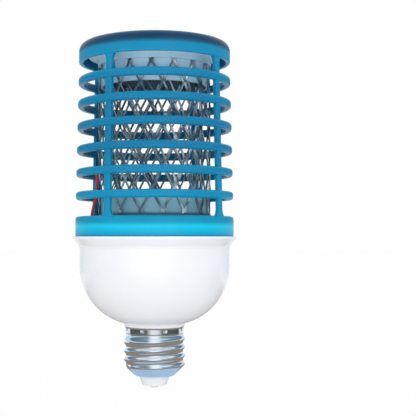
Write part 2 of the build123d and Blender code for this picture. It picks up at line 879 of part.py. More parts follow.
# Red lead: from the board's edge through the brim, then beside the grid
grid_touch = outer_grid_radius / cos(radians(90 / outer_grid_cells)) + sheet_thickness / 2
lead_grid_circle = grid_touch + lead_radius + sheet_fit
with BuildPart() as outer_grid_lead:
    add(
        wire(
            [
                (*around(lead_board_circle, lead_azimuth), driver_board_bottom),
                (*around(lead_board_circle, lead_azimuth), driver_board_top + lead_board_rise),
                (*around(lead_circle, lead_azimuth), driver_board_top + lead_brim_rise),
                (*around(lead_circle, lead_azimuth), grid_bottom + lead_rise),
                (*around(lead_grid_circle, lead_azimuth), grid_bottom + lead_straight),
                (*around(lead_grid_circle, lead_azimuth), grid_bottom + lead_top),
            ],
            lead_radius,
            [4 * lead_radius, 4 * lead_radius, 4 * lead_radius, 6 * lead_radius],
        )
    )

# Black lead from the board to the inner grid
inner_grid_circle = inner_collar_radius - lead_radius - inner_lead_gap
inner_lead_head = around(inner_grid_circle, inner_lead_azimuth)
inner_lead_low = driver_board_top + film_capacitor_size[2] + inner_lead_bend_rise
inner_lead_high = grid_bottom - holder_wall - inner_lead_bend_drop
with BuildPart() as inner_grid_lead:
    add(
        wire(
            [
                (*inner_lead_foot, driver_board_bottom),
                (*inner_lead_foot, inner_lead_low),
                (*inner_lead_hole, inner_lead_high),
                (*inner_lead_hole, grid_bottom + holder_spigot),
                (*inner_lead_head, grid_bottom + holder_spigot + 4 * lead_radius),
                (*inner_lead_head, grid_bottom + inner_lead_top),
            ],
            lead_radius,
            [2 * lead_radius, 2 * lead_radius, 2 * lead_radius, 2 * lead_radius],
        )
    )

# Live wire from the contact, and neutral wire from the shell's wall
with BuildPart() as live_wire:
    add(
        wire(
            [
                (0, 0, contact_top),
                (0, 0, shell_top),
                (*live_wire_place, (shell_top + driver_board_bottom) / 2),
                (*live_wire_place, driver_board_top),
            ],
            lead_radius,
            [5 * lead_radius, 5 * lead_radius],
        )
    )

neutral_height = spigot_bottom - 2 * lead_radius
neutral_end = around(thread_root_radius - shell_wall - sheet_fit, neutral_wire_azimuth)
neutral_neck = around(neck_bore - 4 * lead_radius, neutral_wire_azimuth)
neutral_board = around(neutral_wire_circle, neutral_wire_azimuth)
with BuildPart() as neutral_wire:
    add(
        wire(
            [
                (*neutral_end, neutral_height),
                (*neutral_neck, neutral_height),
                (*neutral_neck, shell_top + neck_rise),
                (*neutral_board, driver_board_bottom - 5 * lead_radius),
                (*neutral_board, driver_board_top),
            ],
            lead_radius,
            [2 * lead_radius, 4 * lead_radius, 2 * lead_radius],
        )
    )

# The pair of wires up to the lamp board
with BuildPart() as led_leads:
    for place in led_wire_places:
        add(wire([(*place, driver_board_bottom), (*place, led_board_top)], wire_radius, 0))

pieces = {
    "screw_shell": screw_shell,
    "base_insulator": base_insulator,
    "centre_contact": centre_contact,
    "housing_cup": housing_cup,
    "cage": cage,
    "outer_grid": outer_grid,
    "inner_grid": inner_grid,
    "lower_grid_holder": lower_grid_holder,
    "upper_grid_holder": upper_grid_holder,
    "holder_screws": holder_screws,
    "driver_board": driver_board,
    "board_screws": board_screws,
    "dropper_capacitor": dropper_capacitor,
    "smoothing_capacitor": smoothing_capacitor,
    "bridge_rectifier": bridge_rectifier,
    "multiplier_capacitors": multiplier_capacitors,
    "multiplier_diodes": multiplier_diodes,
    "fusible_resistor": fusible_resistor,
    "bleed_resistors": bleed_resistors,
    "led_board": led_board,
    "uv_leds": uv_leds,
    "led_leads": led_leads,
    "outer_grid_lead": outer_grid_lead,
    "inner_grid_lead": inner_grid_lead,
    "live_wire": live_wire,
    "neutral_wire": neutral_wire,
}
os.makedirs("parts", exist_ok=True)
for name, piece in pieces.items():
    piece.part.label = name
    export_step(piece.part, f"parts/{name}.step")
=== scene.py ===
"""Looks of the insect killer light bulb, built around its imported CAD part.

The part is an upright lamp: a nickel screw cap below, an opal cup, and a translucent
blue cage of six rings round two expanded-metal cylinders. Shell, cup, cage, grids,
holders, their leads and their screws are modelled here with Blender's own operators,
and take their main heights and radii from the CAD nodes, so the two stay in one frame.
The boards and what they carry are the CAD nodes with a finish. Lengths in the size
fields are in millimetres where they don't say metres, and in metres in the meshes.
"""

from __future__ import annotations

import logging
import math
from contextlib import contextmanager
from dataclasses import dataclass, field
from enum import Enum
from typing import Callable, Iterator, Sequence

import bmesh
import bpy
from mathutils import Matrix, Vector

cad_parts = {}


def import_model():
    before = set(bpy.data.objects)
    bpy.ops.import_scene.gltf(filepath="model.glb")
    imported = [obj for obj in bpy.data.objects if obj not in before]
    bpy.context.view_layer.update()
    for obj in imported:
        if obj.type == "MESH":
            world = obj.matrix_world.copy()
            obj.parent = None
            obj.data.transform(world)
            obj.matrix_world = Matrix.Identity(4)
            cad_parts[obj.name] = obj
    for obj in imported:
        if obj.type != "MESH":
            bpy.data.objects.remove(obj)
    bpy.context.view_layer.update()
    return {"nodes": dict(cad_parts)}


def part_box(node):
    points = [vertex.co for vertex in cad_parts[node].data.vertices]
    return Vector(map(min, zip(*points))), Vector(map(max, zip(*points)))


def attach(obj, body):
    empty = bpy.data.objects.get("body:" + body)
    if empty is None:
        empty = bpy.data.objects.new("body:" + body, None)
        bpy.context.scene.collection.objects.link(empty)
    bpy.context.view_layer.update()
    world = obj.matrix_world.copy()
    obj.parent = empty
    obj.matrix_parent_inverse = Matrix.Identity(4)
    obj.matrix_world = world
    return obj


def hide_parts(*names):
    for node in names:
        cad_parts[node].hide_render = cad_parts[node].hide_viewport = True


LOG = logging.getLogger("insect_killer")
MM = 0.001
SCATTER_DEPTH = 0.002
SCATTER_COLOUR = (0.4, 0.8, 1.0)
COAT_ROUGHNESS = 0.08
Point = tuple[float, float]
Corner = tuple[float, float, float]
Colour = tuple[float, float, float]


# Outlines


def arc(centre: Point, radius: float, start: float, end: float, steps: int) -> list[Point]:
    """Points along a circular arc.

    Args:
        centre: The arc's centre as radius and height, in mm.
        radius: The arc's radius in mm.
        start: The first point's angle in degrees.
        end: The last point's angle in degrees.
        steps: How many pieces the arc is cut into.

    Returns:
        The points, both ends included.
    """
    angles = [math.radians(start + (end - start) * i / steps) for i in range(steps + 1)]
    return [(centre[0] + radius * math.cos(a), centre[1] + radius * math.sin(a)) for a in angles]


def rounded(corners: Sequence[Corner], steps: int = 5) -> list[Point]:
    """An outline with its corners rounded.

    Args:
        corners: Each corner as radius, height and rounding radius, in mm.
        steps: How many pieces a round is cut into.

    Returns:
        The outline's points in the same order.
    """
    points: list[Point] = []
    for i, (x, z, size) in enumerate(corners):
        if size <= 0:
            points.append((x, z))
            continue
        here = Vector((x, z))
        back = (Vector(corners[i - 1][:2]) - here).normalized()
        ahead = (Vector(corners[(i + 1) % len(corners)][:2]) - here).normalized()
        half = back.angle(ahead) / 2
        centre = here + (back + ahead).normalized() * size / math.sin(half)
        first = here + back * size / math.tan(half) - centre
        last = here + ahead * size / math.tan(half) - centre
        sweep = first.angle(last)
        for k in range(steps + 1):
            share = k / steps
            spoke = first * math.sin((1 - share) * sweep) + last * math.sin(share * sweep)
            spot = centre + spoke / math.sin(sweep)
            points.append((spot.x, spot.y))
    return points


def around(radius: float, azimuth: float, height: float = 0.0) -> Vector:
    """A point on a circle about the axis.

    Args:
        radius: The circle's radius in mm.
        azimuth: The angle from +X in degrees.
        height: The height in mm.

    Returns:
        The point in mm.
    """
    turn = math.radians(azimuth)
    return Vector((radius * math.cos(turn), radius * math.sin(turn), height))


def smooth_step(value: float) -> float:
    """A soft ramp from 0 to 1.

    Args:
        value: The place along the ramp, clamped to 0 and 1.

    Returns:
        The eased value.
    """
    value = min(max(value, 0.0), 1.0)
    return value * value * (3 - 2 * value)


# Pieces


class Piece:
    """A mesh on the bench, shaped with Blender's edit-mode operators and modifiers."""

    def __init__(self, obj: bpy.types.Object, name: str) -> None:
        """Takes an object as a piece.

        Args:
            obj: The mesh object.
            name: The piece's name.
        """
        self.obj = obj
        obj.name = name
        obj.data.name = name

    @staticmethod
    def clear() -> None:
        """Leaves edit mode and deselects every object."""
        if bpy.context.mode != "OBJECT":
            bpy.ops.object.mode_set(mode="OBJECT")
        bpy.ops.object.select_all(action="DESELECT")

    def select(self, *others: "Piece") -> None:
        """Selects the piece, and others with it, and makes it the active one.

        Args:
            *others: The pieces that are selected with it.
        """
        self.clear()
        for piece in (self, *others):
            piece.obj.select_set(True)
        bpy.context.view_layer.objects.active = self.obj

    @classmethod
    def added(cls, name: str) -> "Piece":
        """Takes the primitive that was just added, with its place put into the mesh."""
        bpy.ops.object.transform_apply(location=True, rotation=True, scale=True)
        return cls(bpy.context.active_object, name)

    @classmethod
    def cylinder(
        cls, name: str, radius: float, bottom: float, top: float, at: Point = (0, 0), sides: int = 48
    ) -> "Piece":
        """A closed upright cylinder.

        Args:
            name: The piece's name.
            radius: Its radius in mm.
            bottom: Its lower end's height in mm.
            top: Its upper end's height in mm.
            at: Its axis, as x and y in mm.
            sides: How many sides it has.

        Returns:
            The piece.
        """
        cls.clear()
        bpy.ops.mesh.primitive_cylinder_add(
            vertices=sides,
            radius=radius * MM,
            depth=(top - bottom) * MM,
            location=(at[0] * MM, at[1] * MM, (top + bottom) / 2 * MM),
        )
        return cls.added(name)

    @classmethod
    def block(cls, name: str, low: Sequence[float], high: Sequence[float]) -> "Piece":
        """A box between two corners.

        Args:
            name: The piece's name.
            low: Its lowest corner in mm.
            high: Its highest corner in mm.

        Returns:
            The piece.
        """
        cls.clear()
        middle = (Vector(low) + Vector(high)) / 2 * MM
        bpy.ops.mesh.primitive_cube_add(size=1, location=middle)
        bpy.context.active_object.scale = (Vector(high) - Vector(low)) * MM
        return cls.added(name)

    @classmethod
    def drawn(cls, name: str, path: Sequence[Vector], closed: bool) -> "Piece":
        """A line of edges, drawn by extruding one vertex along a path.

        Args:
            name: The piece's name.
            path: The points in mm.
            closed: Whether the last point joins the first.

        Returns:
            The piece.
        """
        cls.clear()
        bpy.ops.mesh.primitive_plane_add(size=MM, location=Vector(path[0]) * MM)
        piece = cls.added(name)
        with piece.editing():
            bpy.ops.mesh.merge(type="CENTER")
            for before, after in zip(path, path[1:]):
                step = (Vector(after) - Vector(before)) * MM
                bpy.ops.mesh.extrude_region_move(TRANSFORM_OT_translate={"value": step})
            if closed:
                mesh = bmesh.from_edit_mesh(piece.obj.data)
                mesh.verts.ensure_lookup_table()
                bpy.ops.mesh.select_all(action="DESELECT")
                mesh.verts[0].select_set(True)
                mesh.verts[len(mesh.verts) - 1].select_set(True)
                bpy.ops.mesh.edge_face_add()
        return piece

    @classmethod
    def lathed(
        cls, name: str, outline: Sequence[Point], closed: bool = True, steps: int = 192
    ) -> "Piece":
        """A turned form: an outline spun about the lamp's axis.

        Args:
            name: The piece's name.
            outline: The outline as radius and height in mm.
            closed: Whether the outline's ends join; an open one ends on the axis.
            steps: How many steps the turn has.

        Returns:
            The piece.
        """
        piece = cls.drawn(name, [Vector((r, 0, z)) for r, z in outline], closed)
        with piece.editing():
            bpy.ops.mesh.spin(
                steps=steps, angle=math.tau, center=(0, 0, 0), axis=(0, 0, 1), use_auto_merge=True
            )
        piece.merge()
        return piece

    @classmethod
    def tube(cls, name: str, path: Sequence[Vector], radius: float, bend: float) -> "Piece":
        """A round wire along a path with rounded bends.

        Args:
            name: The piece's name.
            path: The path's corners in mm.
            radius: The wire's radius in mm.
            bend: The reach of each bend in mm.

        Returns:
            The piece.
        """
        cls.clear()
        points = [path[0]]
        for before, here, after in zip(path, path[1:], path[2:]):
            back = (before - here).normalized() * min(bend, (before - here).length / 2)
            ahead = (after - here).normalized() * min(bend, (after - here).length / 2)
            for k in range(9):
                share = k / 8
                points.append(here + back * (1 - share) ** 2 + ahead * share**2)
        points.append(path[-1])
        bpy.ops.curve.primitive_nurbs_path_add()
        curve = bpy.context.active_object
        curve.data.splines.clear()
        spline = curve.data.splines.new("POLY")
        spline.points.add(len(points) - 1)
        for knot, point in zip(spline.points, points):
            knot.co = (*(point * MM), 1)
        curve.data.bevel_depth = radius * MM
        curve.data.bevel_resolution = 5
        curve.data.use_fill_caps = True
        bpy.ops.object.convert(target="MESH")
        piece = cls.added(name)
        piece.merge()
        return piece

    @contextmanager
    def editing(self) -> Iterator[None]:
        """Opens the piece in edit mode with all its vertices selected.

        Yields:
            Nothing; the mode is left when the block ends.
        """
        self.select()
        bpy.ops.object.mode_set(mode="EDIT")
        bpy.ops.mesh.select_mode(type="VERT")
        bpy.ops.mesh.select_all(action="SELECT")
        yield
        bpy.ops.object.mode_set(mode="OBJECT")

    def pick(self, test: Callable[[Vector], bool], element: str = "VERT") -> None:
        """Selects elements by place, while in edit mode.

        Args:
            test: Says from a place in mm whether the element is taken. An edge or a
                face is taken if all its vertices are.
            element: What is selected: VERT, EDGE or FACE.
        """
        bpy.ops.mesh.select_mode(type=element)
        bpy.ops.mesh.select_all(action="DESELECT")
        mesh = bmesh.from_edit_mesh(self.obj.data)
        if element == "VERT":
            for vertex in mesh.verts:
                vertex.select_set(test(vertex.co / MM))
        else:
            for part in mesh.edges if element == "EDGE" else mesh.faces:
                if all(test(vertex.co / MM) for vertex in part.verts):
                    part.select_set(True)
        bmesh.update_edit_mesh(self.obj.data)

    def merge(self) -> None:
        """Joins vertices that meet and turns every normal outwards."""
        with self.editing():
            bpy.ops.mesh.remove_doubles(threshold=0.002 * MM)
            bpy.ops.mesh.normals_make_consistent(inside=False)

    def move(self, step: Sequence[float]) -> "Piece":
        """Moves the whole mesh.

        Args:
            step: The move in mm.

        Returns:
            The piece itself.
        """
        with self.editing():
            bpy.ops.transform.translate(value=Vector(step) * MM)
        return self

    def turn(self, angle: float, axis: str = "Z") -> "Piece":
        """Turns the whole mesh about an axis through the origin.

        Args:
            angle: The turn in degrees, by the right-hand rule.
            axis: The axis's letter.

        Returns:
            The piece itself.
        """
        with self.editing():
            bpy.ops.transform.rotate(
                value=-math.radians(angle), orient_axis=axis, center_override=(0, 0, 0)
            )
        return self

    def shift_vertices(self, rule: Callable[[Vector], Vector]) -> None:
        """Moves each vertex by a rule, for forms that no operator gives.

        Args:
            rule: Gives a vertex's new place from its old one, both in mm.
        """
        for vertex in self.obj.data.vertices:
            vertex.co = rule(vertex.co / MM) * MM
        self.obj.data.update()

    def modify(self, kind: str, **settings: object) -> None:
        """Adds a modifier and applies it.

        Args:
            kind: The modifier's type.
            **settings: Its settings by name.
        """
        self.select()
        modifier = self.obj.modifiers.new(kind.lower(), kind)
        for name, value in settings.items():
            setattr(modifier, name, value)
        bpy.ops.object.modifier_apply(modifier=modifier.name)

    def combine(self, other: "Piece", operation: str) -> None:
        """Cuts or adds another piece, which is used up, by a boolean operation's name."""
        self.modify("BOOLEAN", object=other.obj, operation=operation, solver="EXACT")
        bpy.data.objects.remove(other.obj)

    def join(self, others: Sequence["Piece"]) -> "Piece":
        """Joins other pieces into this one's mesh.

        Args:
            others: The pieces to take in.

        Returns:
            The piece itself.
        """
        self.select(*others)
        bpy.ops.object.join()
        return self

    def copy(self, name: str) -> "Piece":
        """A copy with a mesh of its own.

        Args:
            name: The copy's name.

        Returns:
            The copy.
        """
        self.select()
        bpy.ops.object.duplicate(linked=False)
        return Piece(bpy.context.active_object, name)

    def finish(self, node: str, finish: "Finish", angle: float = 35.0) -> "Piece":
        """Shades the piece, gives it its material and puts it on the CAD frame.

        Args:
            node: The CAD node that it stands for.
            finish: Its finish.
            angle: Edges sharper than this stay crisp, in degrees.

        Returns:
            The piece itself.
        """
        self.select()
        bpy.ops.object.shade_smooth_by_angle(angle=math.radians(angle))
        self.obj.data.materials.clear()
        self.obj.data.materials.append(finish.material())
        self.obj.name = f"{node}_look"
        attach(self.obj, "root")
        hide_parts(node)
        return self


# Materials


class Graph:
    """A node tree that is filled in a few short calls."""

    def __init__(self, tree: bpy.types.NodeTree) -> None:
        """Takes a node tree and empties it."""
        self.tree = tree
        tree.nodes.clear()

    def node(self, kind: str, **settings: object) -> bpy.types.Node:
        """Adds a node.

        Args:
            kind: The node's type without its ShaderNode prefix, or whole with one.
            **settings: Its properties by name.

        Returns:
            The node.
        """
        name = kind if kind.startswith(("Node", "ShaderNode")) else "ShaderNode" + kind
        node = self.tree.nodes.new(name)
        for key, value in settings.items():
            setattr(node, key, value)
        return node

    def feed(self, node: bpy.types.Node, **inputs: object) -> bpy.types.Node:
        """Sets or links a node's inputs.

        Args:
            node: The node.
            **inputs: Each input's value or the socket that feeds it, named with
                underscores for spaces, or i0, i1 and so on by place.

        Returns:
            The node itself.
        """
        for key, value in inputs.items():
            by_place = key[0] == "i" and key[1:].isdigit()
            socket = node.inputs[int(key[1:])] if by_place else node.inputs[key.replace("_", " ")]
            if isinstance(value, bpy.types.NodeSocket):
                self.tree.links.new(value, socket)
            else:
                socket.default_value = value
        return node

    def ramp(
        self, value: bpy.types.NodeSocket, stops: Sequence[tuple[float, Colour]]
    ) -> bpy.types.NodeSocket:
        """A colour ramp that runs evenly between its stops.

        Args:
            value: What drives it.
            stops: Each place from 0 to 1 with its colour.

        Returns:
            The colour socket.
        """
        node = self.node("ValToRGB")
        node.color_ramp.interpolation = "LINEAR"
        elements = node.color_ramp.elements
        while len(elements) > 1:
            elements.remove(elements[0])
        elements[0].position, elements[0].color = stops[0][0], (*stops[0][1], 1)
        for place, colour in stops[1:]:
            elements.new(place).color = (*colour, 1)
        self.feed(node, i0=value)
        return node.outputs[0]

    def mix(self, factor: object, first: object, second: object) -> bpy.types.NodeSocket:
        """Mixes two colours.

        Args:
            factor: The share of the second, as a number or a socket.
            first: The first colour or socket.
            second: The second colour or socket.

        Returns:
            The colour socket.
        """
        node = self.node("Mix", data_type="RGBA")
        colours = [(*value, 1) if isinstance(value, tuple) else value for value in (first, second)]
        self.feed(node, i0=factor, i6=colours[0], i7=colours[1])
        return node.outputs[2]

    def math(self, operation: str, first: object, second: object = 0.0) -> bpy.types.NodeSocket:
        """One sum.

        Args:
            operation: The operation's name.
            first: The first number or socket.
            second: The second number or socket.

        Returns:
            The value socket.
        """
        node = self.node("Math", operation=operation)
        self.feed(node, i0=first, i1=second)
        return node.outputs[0]

    def group(self, tree: bpy.types.NodeTree, **inputs: object) -> bpy.types.NodeSocket:
        """Uses a shared node group.

        Args:
            tree: The group.
            **inputs: Its inputs by name.

        Returns:
            Its first output.
        """
        node = self.node("Group", node_tree=tree)
        self.feed(node, **inputs)
        return node.outputs[0]


def new_material(name: str) -> tuple[bpy.types.Material, Graph]:
    """A material with an empty graph.

    Args:
        name: The material's name.

    Returns:
        The material and its graph.
    """
    material = bpy.data.materials.new(name)
    material.use_nodes = True
    return material, Graph(material.node_tree)


class Shared:
    """Node groups that several finishes share, each made once."""

    @staticmethod
    def _new(name: str, inputs: Sequence[tuple[str, float]], output: tuple[str, str]) -> Graph | None:
        """Starts a group.

        Args:
            name: The group's name.
            inputs: Each input with its default.
            output: The output's name and socket type.

        Returns:
            The group's graph, or nothing if the group exists.
        """
        if name in bpy.data.node_groups:
            return None
        tree = bpy.data.node_groups.new(name, "ShaderNodeTree")
        for label, value in inputs:
            socket = tree.interface.new_socket(label, in_out="INPUT", socket_type="NodeSocketFloat")
            socket.default_value = value
        tree.interface.new_socket(output[0], in_out="OUTPUT", socket_type=output[1])
        return Graph(tree)

    @classmethod
    def mottle(cls) -> bpy.types.NodeTree:
        """A soft cloudy mask on Object coordinates.

        Returns:
            The group, with a Scale input and a Mask output from 0 to 1.
        """
        graph = cls._new("mottle", [("Scale", 60.0)], ("Mask", "NodeSocketFloat"))
        if graph:
            entry = graph.node("NodeGroupInput")
            place = graph.node("TexCoord").outputs["Object"]
            noise = graph.node("TexNoise")
            graph.feed(noise, Vector=place, Scale=entry.outputs[0], Detail=3.0, Roughness=0.55)
            spread = graph.node("MapRange")
            graph.feed(spread, Value=noise.outputs[0], From_Min=0.35, From_Max=0.65)
            graph.feed(graph.node("NodeGroupOutput"), i0=spread.outputs[0])
        return bpy.data.node_groups["mottle"]

    @classmethod
    def grain(cls) -> bpy.types.NodeTree:
        """A fine moulded grain.

        Returns:
            The group, with Scale and Strength inputs and a Normal output.
        """
        graph = cls._new(
            "grain", [("Scale", 900.0), ("Strength", 0.1)], ("Normal", "NodeSocketVector")
        )
        if graph:
            entry = graph.node("NodeGroupInput")
            place = graph.node("TexCoord").outputs["Object"]
            noise = graph.node("TexNoise")
            graph.feed(noise, Vector=place, Scale=entry.outputs[0], Detail=2.0)
            bump = graph.node("Bump")
            graph.feed(bump, Height=noise.outputs[0], Strength=entry.outputs[1], Distance=0.0002)
            graph.feed(graph.node("NodeGroupOutput"), i0=bump.outputs[0])
        return bpy.data.node_groups["grain"]

    @classmethod
    def height(cls) -> bpy.types.NodeTree:
        """The height on the lamp as a share of a band.

        Returns:
            The group, with Low and High inputs in metres and a Share output.
        """
        graph = cls._new("height", [("Low", 0.0), ("High", 0.15)], ("Share", "NodeSocketFloat"))
        if graph:
            entry = graph.node("NodeGroupInput")
            split = graph.node("SeparateXYZ")
            graph.feed(split, i0=graph.node("TexCoord").outputs["Object"])
            spread = graph.node("MapRange")
            graph.feed(
                spread,
                Value=split.outputs[2],
                From_Min=entry.outputs[0],
                From_Max=entry.outputs[1],
            )
            graph.feed(graph.node("NodeGroupOutput"), i0=spread.outputs[0])
        return bpy.data.node_groups["height"]

    @classmethod
    def radius(cls) -> bpy.types.NodeTree:
        """Tells what lies outside a radius about the lamp's axis.

        Returns:
            The group, with an Edge input in metres and a Share output.
        """
        graph = cls._new("radius", [("Edge", 0.02)], ("Share", "NodeSocketFloat"))
        if graph:
            entry = graph.node("NodeGroupInput")
            split = graph.node("SeparateXYZ")
            graph.feed(split, i0=graph.node("TexCoord").outputs["Object"])
            across = graph.math("POWER", split.outputs[0], 2.0)
            along = graph.math("POWER", split.outputs[1], 2.0)
            distance = graph.math("SQRT", graph.math("ADD", across, along), 0.0)
            share = graph.math("GREATER_THAN", distance, entry.outputs[0])
            graph.feed(graph.node("NodeGroupOutput"), i0=share)
        return bpy.data.node_groups["radius"]


@dataclass(frozen=True)
class Finish:
    """A plain finish: one colour with a faint mottle and a fine grain.

    Attributes:
        slot: The record's material slot.
        shade: The linear colour in the mottle's darker patches.
        colour: The linear base colour, where no bands of painted shade and highlights take its place.
        roughness: The surface's roughness.
        specular: The specular level.
        metallic: 1 for a metal.
        subsurface: The weight of light scattered inside.
        coat: The weight of a clear coat.
        mottle_scale: The mottle's scale.
        grain: The grain's strength.
    """

    slot: str
    shade: Colour
    colour: Colour | None = None
    roughness: float = 0.4
    specular: float = 0.5
    metallic: float = 0.0
    subsurface: float = 0.0
    coat: float = 0.0
    mottle_scale: float = 60.0
    grain: float = 0.08

    def colour_socket(self, graph: Graph) -> bpy.types.NodeSocket:
        """The base colour's nodes: the colour and its mottle."""
        mask = graph.group(Shared.mottle(), Scale=self.mottle_scale)
        return graph.mix(mask, self.shade, self.colour)

    def shader(self, graph: Graph) -> bpy.types.NodeSocket:
        """The surface shader's nodes.

        Args:
            graph: The material's graph.

        Returns:
            The shader socket.
        """
        surface = graph.node("BsdfPrincipled")
        graph.feed(
            surface,
            Base_Color=self.colour_socket(graph),
            Roughness=self.roughness,
            Metallic=self.metallic,
            Specular_IOR_Level=self.specular,
            Subsurface_Weight=self.subsurface,
            Subsurface_Scale=SCATTER_DEPTH,
            Subsurface_Radius=SCATTER_COLOUR,
            Coat_Weight=self.coat,
            Coat_Roughness=COAT_ROUGHNESS,
            Normal=graph.group(Shared.grain(), Strength=self.grain),
        )
        return surface.outputs[0]

    def material(self) -> bpy.types.Material:
        """The finish's material, made at its first use.

        Returns:
            The material.
        """
        name = f"{self.slot}_finish"
        if name in bpy.data.materials:
            return bpy.data.materials[name]
        material, graph = new_material(name)
        graph.feed(graph.node("OutputMaterial"), i0=self.shader(graph))
        return material


@dataclass(frozen=True)
class PaintedShadingPlastic(Finish):
    """Plastic with painted shade and painted highlights: its colour darkens and pales in bands by its
    height on the lamp.

    Attributes:
        low: The height in metres at which the bands start.
        high: The height in metres at which they end.
        bands: Each band's share of that height with its linear colour; the bands paint shade and
            highlights.
        mottle_weight: How much of the darker tone the mottle lays over the bands.
    """

    low: float = 0.0647
    high: float = 0.1472
    bands: tuple[tuple[float, Colour], ...] = ()
    mottle_weight: float = 0.12

    def colour_socket(self, graph: Graph) -> bpy.types.NodeSocket:
        """The base colour's nodes: the bands of painted shade and highlights, and a faint mottle over
        them.

        Args:
            graph: The material's graph.

        Returns:
            The colour socket.
        """
        share = graph.group(Shared.height(), Low=self.low, High=self.high)
        # Painted shade and highlights: a ramp over height darkens and pales the colour in bands.
        bands = graph.ramp(share, self.bands)
        mask = graph.group(Shared.mottle(), Scale=self.mottle_scale)
        cloud = graph.math("MULTIPLY", mask, self.mottle_weight)
        return graph.mix(cloud, bands, self.shade)


@dataclass(frozen=True)
class HolderPlastic(PaintedShadingPlastic):
    """Banded plastic with painted shade on its faces inside the grids, which are darker.

    Attributes:
        inner: The linear colour of the painted shade on the inner faces.
        painted_shade_radius: The radius in metres within which the painted shade holds.
    """

    inner: Colour = (0.09, 0.17, 0.21)
    painted_shade_radius: float = 0.0222

    def colour_socket(self, graph: Graph) -> bpy.types.NodeSocket:
        """The base colour's nodes: the bands of painted light and shade outside, and the painted shade
        inside.

        Args:
            graph: The material's graph.

        Returns:
            The colour socket.
        """
        outside = PaintedShadingPlastic.colour_socket(self, graph)
        # Painted shade: faces within this radius about the axis take the darker inner colour.
        share = graph.group(Shared.radius(), Edge=self.painted_shade_radius)
        return graph.mix(share, self.inner, outside)


class Palette:
    """Every finish of the lamp, one for each material slot."""

    blue = PaintedShadingPlastic(
        "blue_plastic",
        (0.004, 0.16, 0.32),
        roughness=0.34,
        specular=0.15,
        subsurface=0.6,
        # These bands paint shade and highlights on the cage by height: a bright cyan band across the
        # collar and a dark navy band along the cap's rounded top edge.
        bands=(
            (0.0, (0.002, 0.20, 0.42)),
            (0.010, (0.002, 0.36, 0.60)),
            (0.030, (0.003, 0.46, 0.69)),
            (0.045, (0.004, 0.57, 0.77)),
            (0.055, (0.004, 0.55, 0.75)),
            (0.072, (0.003, 0.30, 0.50)),
            (0.12, (0.003, 0.27, 0.46)),
            (0.24, (0.004, 0.27, 0.46)),
            (0.45, (0.004, 0.195, 0.365)),
            (0.80, (0.004, 0.225, 0.41)),
            (0.90, (0.005, 0.27, 0.48)),
            (0.938, (0.005, 0.25, 0.44)),
            (0.952, (0.004, 0.08, 0.17)),
            (0.965, (0.003, 0.035, 0.09)),
            (0.985, (0.003, 0.045, 0.11)),
            (1.0, (0.005, 0.12, 0.24)),
        ),
    )
    opal = Finish(
        "opal_plastic", (0.83, 0.84, 0.865), (0.85, 0.86, 0.885), 0.2, 0.4, subsurface=0.2, grain=0.02
    )
    nickel = Finish(
        "plated_brass", (0.70, 0.77, 0.85), (0.76, 0.85, 0.94), 0.15, metallic=1.0, grain=0.0
    )
    insulator = Finish("insulator", (0.88, 0.89, 0.90), (0.92, 0.93, 0.94), 0.25, coat=0.3)
    contact = Finish("contact_brass", (0.66, 0.62, 0.55), (0.75, 0.72, 0.66), 0.3, metallic=1.0)
    grid = Finish(
        "grid_metal", (0.24, 0.33, 0.38), (0.42, 0.54, 0.60), 0.26, metallic=1.0, mottle_scale=220.0
    )
    holder = HolderPlastic(
        "holder_plastic",
        (0.16, 0.32, 0.40),
        roughness=0.45,
        specular=0.3,
        # These bands paint light and shade on the holders by height: dark at the foot, a painted
        # shadow line by the collar's edge, and pale at the head under the cap.
        bands=(
            (0.0, (0.05, 0.13, 0.17)),
            (0.115, (0.05, 0.14, 0.18)),
            (0.124, (0.20, 0.44, 0.53)),
            (0.21, (0.25, 0.50, 0.60)),
            (0.8, (0.40, 0.63, 0.76)),
            (0.9, (0.48, 0.73, 0.86)),
            (0.92, (0.74, 0.93, 1.0)),
            (1.0, (0.74, 0.93, 1.0)),
        ),
    )
    screw = Finish("screw_steel", (0.45, 0.45, 0.48), (0.58, 0.58, 0.60), 0.35, metallic=1.0)
    red_wire = Finish("wire_red", (0.75, 0.03, 0.03), (0.85, 0.045, 0.045), 0.3)
    black_wire = Finish("wire_black", (0.02, 0.02, 0.02), (0.012, 0.012, 0.013), 0.35)
    brown_wire = Finish("wire_brown", (0.07, 0.02, 0.006), (0.09, 0.025, 0.008), 0.35)
    blue_wire = Finish("wire_blue", (0.01, 0.04, 0.26), (0.01, 0.05, 0.32), 0.35)
    white_wire = Finish("wire_white", (0.72, 0.72, 0.70), (0.80, 0.80, 0.78), 0.35)
    laminate = Finish(
        "board_laminate", (0.30, 0.19, 0.06), (0.36, 0.24, 0.08), 0.45, mottle_scale=300.0
    )
    white_board = Finish("board_white", (0.76, 0.76, 0.74), (0.82, 0.82, 0.80), 0.4)
    lamp = Finish("led_white", (0.74, 0.74, 0.62), (0.80, 0.80, 0.68), 0.2, coat=0.5)
    film = Finish("film_yellow", (0.52, 0.25, 0.02), (0.60, 0.30, 0.03), 0.25, coat=0.4)
    can = Finish("can_sleeve", (0.014, 0.016, 0.026), (0.010, 0.012, 0.020), 0.25, coat=0.3)
    epoxy = Finish("epoxy_black", (0.022, 0.022, 0.022), (0.014, 0.014, 0.014), 0.5)
    disc = Finish("disc_blue", (0.012, 0.06, 0.28), (0.015, 0.08, 0.35), 0.25, coat=0.4)
    resistor = Finish("resistor_grey", (0.10, 0.13, 0.15), (0.13, 0.16, 0.19), 0.5)


# Frame sizes


def span(node: str) -> tuple[Vector, Vector]:
    """A CAD node's lowest and highest corner.

    Args:
        node: The node's name.

    Returns:
        Both corners in mm.
    """
    low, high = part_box(node)
    return low / MM, high / MM


